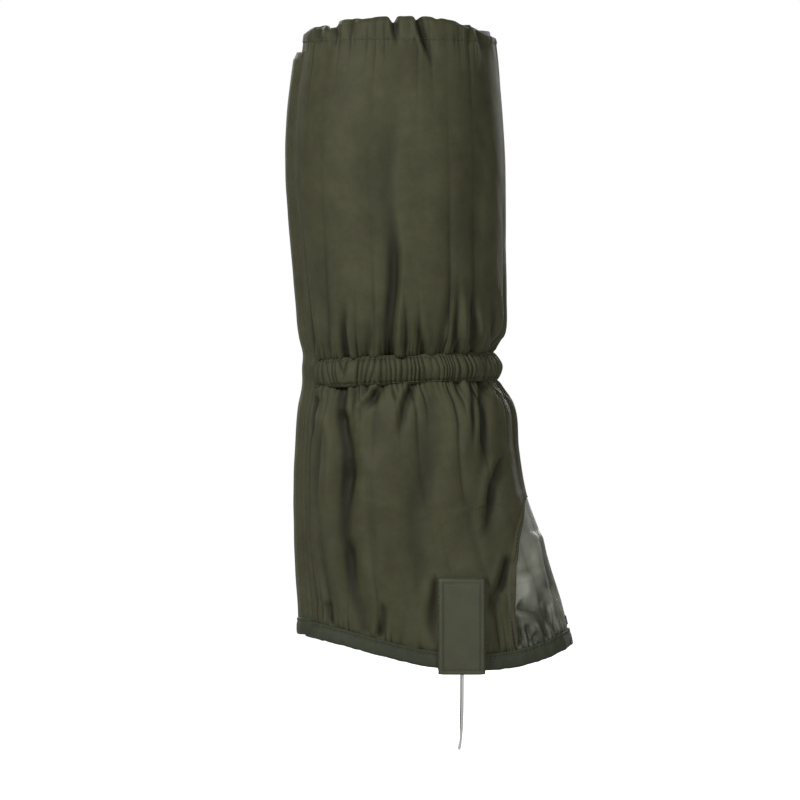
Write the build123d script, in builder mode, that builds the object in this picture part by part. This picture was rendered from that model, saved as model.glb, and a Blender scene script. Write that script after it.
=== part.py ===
from build123d import *
import os
from collections import namedtuple
from math import asin, atan2, degrees, radians, sqrt, tan

# A knee-high gaiter for one boot, in millimetres.
# +X points to the toe, +Y to the inner side of the leg, +Z up the leg.
# The origin is on the leg's axis, at the middle of the elastic that grips the leg.

# ---------------------------------------------------------------- driving dimensions
WALL = 1.0  # one layer of fabric, with the air in its folds
WAIST_HALF = 10.5  # half the height of the gathered elastic casing
TOP_Z = 240.0  # top edge of the gaiter
TOP_HEM = 18.0  # height of the drawn-in top hem
BOTTOM_Z = -222.0  # below the lowest point of the bottom edge
HEM_TAPE = 11.5  # height of the tape that binds the bottom edge
BINDING_OUT = 0.8  # the binding's outer and inner faces, from the panel's outer face
BINDING_IN = -1.8

CASING_DEPTH = 3.8  # an elastic's casing, outer and inner layers together
CASING_LINING = 0.8
ELASTIC_WALL = 1.4

ZIP_X = -65.0  # outer face of the fabric that is stitched to the zip
ZIP_BOTTOM = -174.5
ZIP_TOP = 221.5
ZIP_EDGE = 4.8  # from the zip's middle to the fabric's edge
ZIP_FLAT = 7.5  # the fabric lies flat on the zip tape out to here
ZIP_VALLEY = 12.0  # and is back on the leg's outline from here

TAPE_WALL = 0.6
TAPE_EDGE = 10.0
TEETH_WALL = 2.6
TEETH_EDGE = 3.0
TOOTH_PITCH = 2.8
TOOTH_HEIGHT = 1.5
POST_SLOT = 0.6  # half the slot between the two rows, where the slider's post runs

FLAP_GAP = 2.9  # from the sleeve to the flap's inner face
FLAP_WALL = 1.0

POCKET_X = 42.0  # middle of the cable pockets, fore and aft
POCKET_WIDTH = 33.0
POCKET_TOP = -145.5
POCKET_BOTTOM = -213.0
POCKET_FLOOR = 55.5  # the pocket's inner face, out from the leg's middle plane
POCKET_ROOM = 4.9
POCKET_LIP = 1.4  # wall of the pocket's folded sides
POCKET_COVER = 0.9

CABLE_DIAMETER = 1.8
CABLE_Y = 57.7  # the cable's two legs, out from the middle plane
EYE_Z = -180.0  # pivot of the cable's eyes
EYE_RADIUS = 4.5
EYE_WALL = 2.2
RIVET_RADIUS = 2.0
RUNNING_CLEARANCE = 0.1
SHANK_DIAMETER = 3.8
SHANK_END = -197.0

GUSSET_TOP = (87.0, -88.0)  # where the two sides' seams meet, on the shin

# Outlines of the sleeve's outer face: height, rearmost and foremost X, half the width.
Station = namedtuple("Station", "z back front half")
TOP_STATION = Station(TOP_Z - TOP_HEM, -71.4, 68.0, 63.0)
UPPER = [
    Station(WAIST_HALF, -67.0, 66.0, 54.0),
    Station(22.0, -68.2, 70.0, 60.0),
    Station(50.0, -71.0, 72.0, 64.0),
    Station(90.0, -74.4, 72.0, 66.0),
    Station(145.0, -78.2, 71.8, 66.5),
    Station(190.0, -75.9, 69.5, 65.0),
    TOP_STATION,
]
TOP = [TOP_STATION, Station(TOP_Z, -68.4, 64.0, 60.0)]
WAIST = [
    Station(-WAIST_HALF, -67.0, 66.0, 54.0),
    Station(0.0, -67.6, 69.3, 57.0),
    Station(WAIST_HALF, -67.0, 66.0, 54.0),
]
LOWER = [
    Station(-WAIST_HALF, -67.0, 66.0, 54.0),
    Station(-25.0, -68.0, 76.0, 58.0),
    Station(-56.0, -71.2, 81.0, 59.5),
    Station(-88.0, -72.0, 87.0, 59.0),
    Station(-110.0, -72.0, 95.0, 57.5),
    Station(-137.0, -71.2, 103.5, 55.5),
    Station(-166.0, -69.2, 112.5, 54.0),
    Station(-190.0, -69.2, 118.2, 53.0),
    Station(BOTTOM_Z, -69.2, 125.0, 52.0),
]

# The bottom edge from heel to instep, seen from the side.
HEM_CURVE = [
    (-84.0, -183.5),
    (-41.0, -192.0),
    (-4.0, -201.5),
    (24.5, -207.5),
    (50.0, -209.5),
    (75.0, -207.5),
    (95.0, -203.0),
    (110.0, -197.0),
    (130.0, -183.0),
]

# The sole cable from the outer eye under the boot to the inner one.
CABLE_ROUTE = [
    (42.0, -57.7, -197.0),
    (42.0, -57.7, -222.0),
    (41.8, -51.5, -245.0),
    (40.6, -36.0, -260.5),
    (39.8, 0.0, -266.5),
    (40.6, 36.0, -260.5),
    (41.8, 51.5, -245.0),
    (42.0, 57.7, -222.0),
    (42.0, 57.7, -197.0),
]


# ---------------------------------------------------------------- outlines and walls
def ellipse_of(station, outset):
    """Centre X and the two radii of a station's outline, moved out by outset."""
    centre = (station.front + station.back) / 2
    length = (station.front - station.back) / 2 + outset
    return centre, length, station.half + outset


def turn_to(half_width, y):
    """The angle from the front, in degrees, where an outline comes back in to y."""
    return 180 - degrees(asin(y / half_width))


def valley_of(station, outset):
    """The Y where the wall leaves the leg's outline and where it lies flat on the zip."""
    middle, a, b = ellipse_of(station, 0.0)
    depth = ZIP_X - middle + a * sqrt(1 - (ZIP_VALLEY / b) ** 2)
    lean = outset * tan(atan2(depth, ZIP_VALLEY - ZIP_FLAT) / 2)
    return ZIP_VALLEY - lean, ZIP_FLAT - lean


def wall_outline(station, outer, inner):
    """One layer of wall on the +Y side, from the front centre round to the zip."""
    middle, a_out, b_out = ellipse_of(station, outer)
    _, a_in, b_in = ellipse_of(station, inner)
    leave_out, flat_out = valley_of(station, outer)
    leave_in, flat_in = valley_of(station, inner)
    with BuildLine() as edge:
        arc_out = EllipticalCenterArc(
            (middle, 0), a_out, b_out, arc_size=turn_to(b_out, leave_out)
        )
        arc_in = EllipticalCenterArc(
            (middle, 0), a_in, b_in, arc_size=turn_to(b_in, leave_in)
        )
        Polyline(
            arc_out @ 1,
            (ZIP_X - outer, flat_out),
            (ZIP_X - outer, ZIP_EDGE),
            (ZIP_X - inner, ZIP_EDGE),
            (ZIP_X - inner, flat_in),
            arc_in @ 1,
        )
        Line(arc_in @ 0, arc_out @ 0)
    make_face(edge.edges())


def band_outline(station, outer, inner, end):
    """A band on the +Y side that stops at y = end, clear of the zip."""
    middle, a_out, b_out = ellipse_of(station, outer)
    _, a_in, b_in = ellipse_of(station, inner)
    with BuildLine() as edge:
        arc_out = EllipticalCenterArc(
            (middle, 0), a_out, b_out, arc_size=turn_to(b_out, end)
        )
        arc_in = EllipticalCenterArc((middle, 0), a_in, b_in, arc_size=turn_to(b_in, end))
        Line(arc_in @ 0, arc_out @ 0)
        Line(arc_in @ 1, arc_out @ 1)
    make_face(edge.edges())


def back_arc(middle, a, b, start, end):
    """The part of an outline at the back between the Y of two edges."""
    turn = turn_to(b, end)
    return EllipticalCenterArc((middle, 0), a, b, turn, arc_size=turn_to(b, start) - turn)


def strip_outline(station, outer, inner, start, end):
    """A strip down the back, between the Y of its two edges."""
    middle, a_out, b_out = ellipse_of(station, outer)
    _, a_in, b_in = ellipse_of(station, inner)
    with BuildLine() as edge:
        arc_out = back_arc(middle, a_out, b_out, start, end)
        arc_in = back_arc(middle, a_in, b_in, start, end)
        Line(arc_in @ 0, arc_out @ 0)
        Line(arc_in @ 1, arc_out @ 1)
    make_face(edge.edges())


def loft_through(stations, outline, *sizes, mode=Mode.ADD):
    """Lofts one outline through its stations."""
    sections = []
    for station in stations:
        with BuildSketch(Plane.XY.offset(station.z)) as section:
            outline(station, *sizes)
        sections.append(section.sketch)
    loft(sections, mode=mode)


def hem_outline(below, above):
    """Seen from the side, the strip between the bottom edge raised by two heights."""
    with BuildLine() as edge:
        low = Spline(*[(x, z + below) for x, z in HEM_CURVE])
        high = Spline(*[(x, z + above) for x, z in HEM_CURVE])
        Line(low @ 0, high @ 0)
        Line(low @ 1, high @ 1)
    make_face(edge.edges())


def gusset_outline():
    """The instep panel seen from the side, run well past the cloth."""
    top_x, top_z = GUSSET_TOP
    far_x, far_z = 160.0, BOTTOM_Z - 10
    with BuildLine() as edge:
        Polyline(
            (top_x, top_z),
            (82.0, -118.0),
            (79.0, -150.0),
            (81.5, far_z),
            (far_x, far_z),
            (far_x, top_z),
            close=True,
        )
    make_face(edge.edges())


def side_cut(outline, *sizes, mode=Mode.INTERSECT):
    """Cuts the part by an outline seen from the side, right through the gaiter."""
    with BuildSketch(Plane.XZ) as cut:
        outline(*sizes)
    extrude(cut.sketch, amount=120, both=True, mode=mode)


def finish(piece, name):
    """Labels a piece and writes it."""
    piece.part.label = name
    export_step(piece.part, f"parts/{name}.step")


def finish_pair(piece, name):
    """Writes a +Y piece as inner_ and its mirror image as outer_."""
    finish(piece, "inner_" + name)
    with BuildPart() as opposite:
        add(mirror(piece.part, about=Plane.XZ, mode=Mode.PRIVATE))
    finish(opposite, "outer_" + name)


def slab(low, high, mode=Mode.ADD):
    """A block between two corners."""
    middle = tuple((a + b) / 2 for a, b in zip(low, high))
    with Locations(middle):
        Box(*[b - a for a, b in zip(low, high)], mode=mode)


def disc(radius, start, end, mode=Mode.ADD):
    """A round pin or head along the active plane's normal, from start to end."""
    with Locations((0, 0, (start + end) / 2)):
        Cylinder(radius, end - start, mode=mode)


os.makedirs("parts", exist_ok=True)

# ---------------------------------------------------------------- sleeve panels
with BuildPart() as upper_panel:
    loft_through(UPPER, wall_outline, 0.0, -WALL)
finish_pair(upper_panel, "upper_panel")

with BuildPart() as lower_panel:
    loft_through(LOWER, wall_outline, 0.0, -WALL)
    side_cut(hem_outline, HEM_TAPE, 400.0)
    side_cut(gusset_outline, mode=Mode.SUBTRACT)
finish_pair(lower_panel, "lower_panel")

with BuildPart() as front_gusset:
    loft_through(LOWER, wall_outline, 0.0, -WALL)
    side_cut(hem_outline, HEM_TAPE, 400.0)
    side_cut(gusset_outline)
    mirror(about=Plane.XZ)
finish(front_gusset, "front_gusset")

with BuildPart() as hem_binding:
    loft_through(LOWER, wall_outline, BINDING_OUT, BINDING_IN)
    side_cut(hem_outline, 0.0, HEM_TAPE)
    mirror(about=Plane.XZ)
finish(hem_binding, "hem_binding")


# ---------------------------------------------------------------- elastics in casings
def levels(stations, inset):
    """The same stations, with the first and last brought in by inset."""
    first, last = stations[0], stations[-1]
    ends = first._replace(z=first.z + inset), last._replace(z=last.z - inset)
    return [ends[0], *stations[1:-1], ends[1]]


def casing_and_elastic(stations, name):
    """A gathered casing round the leg, and the elastic that lies in its channel."""
    lining_end = TAPE_EDGE + 8.0
    room_end = lining_end + WALL
    with BuildPart() as casing:
        loft_through(stations, wall_outline, 0.0, -WALL)
        loft_through(stations, band_outline, -WALL / 2, -CASING_DEPTH, lining_end)
        room = levels(stations, WALL)
        ceiling = CASING_LINING - CASING_DEPTH
        loft_through(room, band_outline, -WALL, ceiling, room_end, mode=Mode.SUBTRACT)
        mirror(about=Plane.XZ)
    finish(casing, name + "_casing")

    slack = (CASING_DEPTH - WALL - CASING_LINING - ELASTIC_WALL) / 2
    face = -WALL - slack
    with BuildPart() as elastic:
        bed = levels(stations, WALL + slack)
        loft_through(bed, band_outline, face, face - ELASTIC_WALL, room_end + slack)
        mirror(about=Plane.XZ)
    finish(elastic, name + "_elastic")


casing_and_elastic(TOP, "top")
casing_and_elastic(WAIST, "waist")

# ---------------------------------------------------------------- zip
TAPE_X = ZIP_X + WALL + TAPE_WALL / 2  # middle of the tape, just inside the fabric
CHAIN_BOTTOM = ZIP_BOTTOM + 8.0  # above the box and pin
CHAIN_TOP = ZIP_TOP - 2.5  # below the stops
CHAIN_LENGTH = CHAIN_TOP - CHAIN_BOTTOM

with BuildPart() as zip_tape:
    slab(
        (TAPE_X - TAPE_WALL / 2, TEETH_EDGE, ZIP_BOTTOM),
        (TAPE_X + TAPE_WALL / 2, TAPE_EDGE, ZIP_TOP),
    )
finish_pair(zip_tape, "zip_tape")


def teeth_row(side, shift):
    """One row: a bead along the tape with moulded teeth, those of the two rows apart."""
    count = int((CHAIN_LENGTH - TOOTH_PITCH) / TOOTH_PITCH)
    tooth_width = TEETH_EDGE - 1.0 - POST_SLOT
    middle = (CHAIN_BOTTOM + CHAIN_TOP) / 2
    with BuildPart() as row:
        with BuildSketch(Plane.YZ.offset(TAPE_X)):
            with Locations((side * (TEETH_EDGE - 0.6), middle)):
                Rectangle(1.2, CHAIN_LENGTH)
            with Locations((side * (POST_SLOT + tooth_width / 2), middle + shift)):
                with GridLocations(1, TOOTH_PITCH, 1, count):
                    Rectangle(tooth_width, TOOTH_HEIGHT)
        extrude(amount=TEETH_WALL / 2, both=True)
    return row


finish(teeth_row(1, 0.0), "inner_zip_teeth")
finish(teeth_row(-1, TOOTH_PITCH / 2), "outer_zip_teeth")

BOX_HALF = TEETH_EDGE - 0.1
PIN_HALF = 0.8
PIN_Y = 1.5
with BuildPart() as zip_box:
    slab((TAPE_X - 1.5, -BOX_HALF, ZIP_BOTTOM), (TAPE_X + 1.5, BOX_HALF, CHAIN_BOTTOM - 0.5))
    slab(
        (TAPE_X - 1.0, PIN_Y - 1.0, ZIP_BOTTOM + 1.0),
        (TAPE_X + 1.0, PIN_Y + 1.0, CHAIN_BOTTOM),
        mode=Mode.SUBTRACT,
    )
finish(zip_box, "zip_box")

with BuildPart() as zip_pin:
    slab(
        (TAPE_X - PIN_HALF, PIN_Y - PIN_HALF, ZIP_BOTTOM + 1.2),
        (TAPE_X + PIN_HALF, PIN_Y + PIN_HALF, CHAIN_BOTTOM - 0.1),
    )
finish(zip_pin, "zip_pin")

with BuildPart() as zip_stops:
    slab((TAPE_X - 1.3, POST_SLOT, CHAIN_TOP + 0.1), (TAPE_X + 1.3, BOX_HALF, ZIP_TOP - 0.2))
    mirror(about=Plane.XZ)
finish(zip_stops, "zip_top_stops")

# The slider is two plates on a thin post, with lips that hold the tapes.
SLIDER_TOP = CHAIN_TOP - 0.6
SLIDER_LENGTH = 14.0
SLIDER_HALF = 4.4
PLATE = 1.3
PLATE_GAP = TEETH_WALL / 2 + 0.3
POST_HALF = 0.3
LIP = 1.0
SLIDER_Z = SLIDER_TOP - SLIDER_LENGTH / 2
PULL_X = TAPE_X - PLATE_GAP - PLATE - 1.2  # axis of the pull's pin
PULL_Z = SLIDER_Z + 2.5
PULL_PIN = 0.6
PULL_EYE = 1.0
PULL_LENGTH = 25.0


def slider_outline():
    """A slider's plate, narrower at its lower end."""
    half_length = SLIDER_LENGTH / 2
    with BuildLine() as edge:
        Polyline(
            (-SLIDER_HALF, SLIDER_Z + half_length),
            (SLIDER_HALF, SLIDER_Z + half_length),
            (SLIDER_HALF, SLIDER_Z),
            (SLIDER_HALF - 0.8, SLIDER_Z - half_length),
            (0.8 - SLIDER_HALF, SLIDER_Z - half_length),
            (-SLIDER_HALF, SLIDER_Z),
            close=True,
        )
    make_face(edge.edges())


with BuildPart() as zip_slider:
    for direction in (-1, 1):
        with BuildSketch(Plane.YZ.offset(TAPE_X + direction * PLATE_GAP)):
            slider_outline()
        extrude(amount=direction * PLATE)
        lip_start = TAPE_X + direction * (PLATE_GAP - LIP)
        lip_end = TAPE_X + direction * (PLATE_GAP + PLATE / 2)
        for side in (-1, 1):
            slab(
                (min(lip_start, lip_end), side * 3.9 - 0.5, SLIDER_Z),
                (max(lip_start, lip_end), side * 3.9 + 0.5, SLIDER_TOP - 1.0),
            )
    slab(
        (TAPE_X - PLATE_GAP - 0.2, -POST_HALF, SLIDER_Z - 2.5),
        (TAPE_X + PLATE_GAP + 0.2, POST_HALF, SLIDER_Z + 2.5),
    )
    for side in (-1, 1):
        slab(
            (PULL_X - 1.0, side * 2.1 - 0.5, PULL_Z - 1.5),
            (PULL_X + 1.4, side * 2.1 + 0.5, PULL_Z + 1.5),
        )
    with Locations(Plane((PULL_X, 0, PULL_Z), x_dir=(1, 0, 0), z_dir=(0, 1, 0))):
        Cylinder(PULL_PIN, 4.4)
finish(zip_slider, "zip_slider")

with BuildPart() as zip_pull:
    slab((PULL_X - 0.5, -1.3, PULL_Z - 4.0), (PULL_X + 0.5, 1.3, PULL_Z))
    with Locations(Plane((PULL_X, 0, PULL_Z), x_dir=(1, 0, 0), z_dir=(0, 1, 0))):
        Cylinder(PULL_EYE, 2.6)
        Cylinder(PULL_PIN + RUNNING_CLEARANCE, 2.6, mode=Mode.SUBTRACT)
    with BuildSketch(Plane.YZ.offset(PULL_X)):
        with Locations((0, PULL_Z - 3.0 - (PULL_LENGTH - 3.0) / 2)):
            RectangleRounded(5.6, PULL_LENGTH - 3.0, 1.4)
        with Locations((0, PULL_Z - PULL_LENGTH + 5.0)):
            SlotOverall(5.0, 2.0, rotation=90, mode=Mode.SUBTRACT)
    extrude(amount=0.5, both=True)
finish(zip_pull, "zip_pull")

# ---------------------------------------------------------------- storm flap
HINGE_Y = -20.0  # the flap's sewn edge, on the outer side of the leg
FREE_Y = 20.0
SEAM_WIDTH = 6.0
FLAP_TOP_Z = TOP_Z - TOP_HEM
FLAP_BOTTOM_Z = -184.0
SEAM_BOTTOM_Z = -170.0
CALF_STRIP = (50.0, 190.0)  # the hook and loop strips' ends, above and below the waist
ANKLE_STRIP = (-137.0, -56.0)
HOOK_EDGES = (12.8, 18.6)  # and their Y, near the free edge
HOOK_WALL = 1.0


def keep_between(low, high):
    """Keeps what lies between two heights."""
    with Locations((0, 0, (low + high) / 2)):
        Box(400, 400, high - low, mode=Mode.INTERSECT)


def long_strip(outer, inner, edges, low):
    """A strip down the whole back, over the calf, the waist and the ankle."""
    with BuildPart() as strip:
        for stations in (LOWER, WAIST, UPPER):
            loft_through(stations, strip_outline, outer, inner, *edges)
        keep_between(low, FLAP_TOP_Z)
    return strip


FLAP_FACE = FLAP_GAP + FLAP_WALL
finish(long_strip(FLAP_FACE, FLAP_GAP, (HINGE_Y, FREE_Y), FLAP_BOTTOM_Z), "storm_flap")
SEAM_EDGES = (HINGE_Y - SEAM_WIDTH, HINGE_Y - 0.4)
finish(long_strip(FLAP_GAP, 0.2, SEAM_EDGES, SEAM_BOTTOM_Z), "flap_seam_tape")


def strip_piece(stations, outer, ends):
    """A length of hook or loop strip."""
    with BuildPart() as piece:
        loft_through(stations, strip_outline, outer, outer - HOOK_WALL, *HOOK_EDGES)
        keep_between(*ends)
    return piece.part


for name, outer in (("flap_hook_tape", FLAP_GAP - 0.1), ("sleeve_loop_tape", HOOK_WALL + 0.2)):
    calf_piece = strip_piece(UPPER, outer, CALF_STRIP)
    ankle_piece = strip_piece(LOWER, outer, ANKLE_STRIP)
    with BuildPart() as both_pieces:
        add([calf_piece, ankle_piece])
    finish(both_pieces, name)


# ---------------------------------------------------------------- press studs
def stud_plane(low, high, y):
    """Halfway between two stations, on the sleeve's outer face and square to it."""
    middle, a, b = ellipse_of(Station(*[(p + q) / 2 for p, q in zip(low, high)]), 0.0)
    root = sqrt(1 - (y / b) ** 2)
    x = middle - a * root
    slope = (high.back - low.back) / (high.z - low.z)
    outward = Vector(-root / a, y / b**2, 0).normalized()
    normal = Vector(outward.X, outward.Y, -outward.X * slope)
    return Plane((x, y, (low.z + high.z) / 2), x_dir=(slope, 0, 1), z_dir=normal)


STUD_Y = 14.0
STUD_PLANES = [
    stud_plane(UPPER[5], TOP_STATION, STUD_Y),
    stud_plane(LOWER[6], LOWER[5], STUD_Y),
]
SHEET_BOTTOM, SHEET_TOP = -WALL, 0.0  # the sleeve's faces, along a stud's axis
BALL_RADIUS = 2.1
SOCKET_RADIUS = 2.6

with BuildPart() as stud_balls:
    with Locations(*STUD_PLANES):
        disc(4.2, SHEET_BOTTOM - 0.9, SHEET_BOTTOM - 0.1)
        disc(1.7, SHEET_BOTTOM - 0.5, SHEET_TOP + 1.5)
        disc(4.6, SHEET_TOP + 0.15, SHEET_TOP + 0.8)
        disc(BALL_RADIUS, SHEET_TOP + 1.3, SHEET_TOP + 2.1)
finish(stud_balls, "press_stud_balls")

with BuildPart() as stud_sockets:
    with Locations(*STUD_PLANES):
        disc(4.6, FLAP_GAP - 1.5, FLAP_GAP - 0.4)
        disc(SOCKET_RADIUS, FLAP_GAP - 1.6, FLAP_GAP - 0.6, mode=Mode.SUBTRACT)
finish(stud_sockets, "press_stud_sockets")

with BuildPart() as stud_caps:
    with Locations(*STUD_PLANES):
        disc(1.5, FLAP_GAP - 0.4, FLAP_FACE + 0.4)
        disc(5.4, FLAP_FACE + 0.1, FLAP_FACE + 0.8)
finish(stud_caps, "press_stud_caps")

# ---------------------------------------------------------------- cable pockets
POCKET_HALF = POCKET_WIDTH / 2
POCKET_FACE = POCKET_FLOOR + POCKET_ROOM + POCKET_COVER
POCKET_LEFT, POCKET_RIGHT = POCKET_X - POCKET_HALF, POCKET_X + POCKET_HALF

with BuildPart() as pocket_cover:
    slab((POCKET_LEFT, POCKET_FLOOR, POCKET_BOTTOM), (POCKET_RIGHT, POCKET_FACE, POCKET_TOP))
    fillet(pocket_cover.edges().filter_by(Axis.Z).sort_by(Axis.Y)[-2:], 1.2)
    slab(
        (POCKET_LEFT + POCKET_LIP, POCKET_FLOOR, POCKET_BOTTOM),
        (POCKET_RIGHT - POCKET_LIP, POCKET_FLOOR + POCKET_ROOM, POCKET_TOP - POCKET_LIP),
        mode=Mode.SUBTRACT,
    )
finish_pair(pocket_cover, "pocket_cover")


def solid_outline(station, outset):
    """The whole leg's outline, filled."""
    middle, a, b = ellipse_of(station, outset)
    with Locations((middle, 0)):
        Ellipse(a, b)


BACKING_GAP = 0.05
with BuildPart() as hem_solid:
    loft_through(LOWER, solid_outline, BINDING_OUT + BACKING_GAP)
    side_cut(hem_outline, -60.0, HEM_TAPE + BACKING_GAP)

with BuildPart() as pocket_backing:
    slab((POCKET_LEFT, 40.0, POCKET_BOTTOM), (POCKET_RIGHT, POCKET_FLOOR, POCKET_TOP))
    loft_through(LOWER, solid_outline, BACKING_GAP, mode=Mode.SUBTRACT)
    add(hem_solid.part, mode=Mode.SUBTRACT)
finish_pair(pocket_backing, "pocket_backing")

# ---------------------------------------------------------------- sole cable
EYE_PLANE = Plane((POCKET_X, 0, EYE_Z), x_dir=(1, 0, 0), z_dir=(0, 1, 0))
EYE_SIDE = EYE_WALL / 2
HEAD_WALL = 0.8
HEAD_GAP = 0.3
HEAD_RADIUS = 3.6

with BuildPart() as anchor_rivet:
    with Locations(EYE_PLANE):
        inner_face = CABLE_Y - EYE_SIDE - HEAD_GAP
        outer_face = CABLE_Y + EYE_SIDE + HEAD_GAP
        disc(RIVET_RADIUS, POCKET_FLOOR, outer_face)
        disc(HEAD_RADIUS, POCKET_FLOOR, inner_face)
        disc(HEAD_RADIUS, outer_face, outer_face + HEAD_WALL)
finish_pair(anchor_rivet, "anchor_rivet")

with BuildPart() as cable_eye:
    with Locations(EYE_PLANE):
        disc(EYE_RADIUS, CABLE_Y - EYE_SIDE, CABLE_Y + EYE_SIDE)
    with BuildSketch(Plane((POCKET_X, CABLE_Y, SHANK_END))):
        Circle(SHANK_DIAMETER / 2)
    extrude(amount=EYE_Z - EYE_RADIUS + 0.5 - SHANK_END)
    with Locations(EYE_PLANE):
        bore = RIVET_RADIUS + RUNNING_CLEARANCE
        disc(bore, CABLE_Y - EYE_WALL, CABLE_Y + EYE_WALL, mode=Mode.SUBTRACT)
finish_pair(cable_eye, "cable_eye")

CORNERS = [Vector(*point) for point in CABLE_ROUTE]
RUNS = [after - before for before, after in zip(CORNERS, CORNERS[1:])]
RADII = [
    0.45 * min(one.length, two.length) / tan(radians(one.get_angle(two)) / 2)
    for one, two in zip(RUNS, RUNS[1:])
]

with BuildPart() as sole_cable:
    with BuildLine() as route:
        FilletPolyline(*CORNERS, radius=RADII)
    with BuildSketch(Plane(CORNERS[0], z_dir=RUNS[0])):
        Circle(CABLE_DIAMETER / 2)
    sweep(path=route.wire())
finish(sole_cable, "sole_cable")
section = Circle(CABLE_DIAMETER / 2, mode=Mode.PRIVATE).area
print("cable bend radii", [round(radius, 1) for radius in RADII])
print("cable length", round(route.wire().length, 1))
print("cable volume / (section x length)", sole_cable.part.volume / (section * route.wire().length))

# ---------------------------------------------------------------- lace hook
HOOK_WIDTH = 7.0
HOOK_METAL = 1.2
HOOK_PATH = [
    (110.7, -168.0),
    (115.3, -189.0),
    (115.2, -195.4),
    (107.8, -196.2),
    (106.0, -190.0),
]
HOOK_RIVET_Z = -175.0
FRONT_SLOPE = (LOWER[7].front - LOWER[6].front) / (LOWER[6].z - LOWER[7].z)

with BuildPart() as lace_hook:
    with BuildSketch(Plane.XZ):
        with BuildLine() as bend:
            FilletPolyline(*HOOK_PATH, radius=2.6)
        trace(bend.edges(), line_width=HOOK_METAL)
    extrude(amount=HOOK_WIDTH / 2, both=True)
finish(lace_hook, "lace_hook")

RIVET_X = LOWER[6].front + (LOWER[6].z - HOOK_RIVET_Z) * FRONT_SLOPE
with BuildPart() as hook_rivet:
    front = Plane((RIVET_X, 0, HOOK_RIVET_Z), x_dir=(0, 1, 0), z_dir=(1, 0, FRONT_SLOPE))
    with Locations(front):
        disc(1.5, -3.2, 0.2)
        disc(3.2, 0.2, 0.9)
        disc(2.8, -3.9, -3.2)
finish(hook_rivet, "lace_hook_rivet")
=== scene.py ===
# %% [markdown]
# # A knee-high gaiter
#
# A gaiter is a sleeve of thin woven cloth that keeps snow and stones out of a boot. The design
# holds its sizes, its zip and its joints. This file gives it its looks: cloth with gathers and
# folds, stitching, a shiny instep panel, stitched tabs and a steel cable under the sole.
#
# The first step loads the imported design as a frame that nothing here may move.

# %% Load the frame
import math

import bmesh
import bpy
import numpy as np
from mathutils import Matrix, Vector


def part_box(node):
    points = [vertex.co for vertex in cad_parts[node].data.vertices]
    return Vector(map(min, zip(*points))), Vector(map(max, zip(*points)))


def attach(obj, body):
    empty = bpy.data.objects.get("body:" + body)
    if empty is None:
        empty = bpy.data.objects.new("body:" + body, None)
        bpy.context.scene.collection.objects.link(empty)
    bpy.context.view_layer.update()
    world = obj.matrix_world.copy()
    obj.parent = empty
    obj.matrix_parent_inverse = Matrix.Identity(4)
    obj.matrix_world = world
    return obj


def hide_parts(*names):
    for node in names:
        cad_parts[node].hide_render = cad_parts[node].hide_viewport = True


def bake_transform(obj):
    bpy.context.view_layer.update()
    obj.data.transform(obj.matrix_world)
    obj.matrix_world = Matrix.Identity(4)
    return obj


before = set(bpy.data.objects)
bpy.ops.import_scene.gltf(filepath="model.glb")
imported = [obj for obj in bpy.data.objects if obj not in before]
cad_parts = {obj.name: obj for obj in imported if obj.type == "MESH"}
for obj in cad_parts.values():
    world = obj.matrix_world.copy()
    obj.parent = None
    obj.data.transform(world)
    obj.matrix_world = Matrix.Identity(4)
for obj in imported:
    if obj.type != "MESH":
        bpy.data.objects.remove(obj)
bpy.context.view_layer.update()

MM = 0.001

# %% [markdown]
# ## Camera, floor and light
#
# The gaiter is seen square from its outer side through a long lens, so upright edges stay
# upright. Light could come from one lamp, but that gives hard shadows. Large soft panels are
# used instead, as in a product studio: a key from the front left that draws the folds, a
# weak fill beside it, and two panels behind that lift the edges and the back. The world and
# the floor are bright to the camera and dim as lights, so that the backdrop is white and the
# folds keep their depth.

# %% Camera
VIEW_DISTANCE = 6.0
VIEW_HEIGHT = 0.56  # how much of the scene the picture takes in, at the leg's axis
VIEW_MIDDLE = (-0.0014, -0.021)
SENSOR = 36.0  # mm across

scene = bpy.context.scene
camera_data = bpy.data.cameras.new("camera")
camera_data.sensor_width = SENSOR
camera_data.lens = SENSOR * VIEW_DISTANCE / VIEW_HEIGHT
camera = bpy.data.objects.new("camera", camera_data)
camera.location = (VIEW_MIDDLE[0], -VIEW_DISTANCE, VIEW_MIDDLE[1])
camera.rotation_euler = (math.radians(90), 0, 0)
scene.collection.objects.link(camera)
scene.camera = camera
scene.view_settings.view_transform = "Standard"
print("lens:", round(camera_data.lens, 1), "mm at", VIEW_DISTANCE, "m")


# %% Bright to the camera, dim as a light
def bright_to_camera(tree, strength_socket, dim, bright):
    """Gives a strength two values: one that the camera sees and one that lights the scene."""
    ray = tree.nodes.new("ShaderNodeLightPath")
    strength = tree.nodes.new("ShaderNodeMapRange")
    strength.inputs["To Min"].default_value = dim
    strength.inputs["To Max"].default_value = bright
    tree.links.new(ray.outputs["Is Camera Ray"], strength.inputs["Value"])
    tree.links.new(strength.outputs["Result"], strength_socket)


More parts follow.
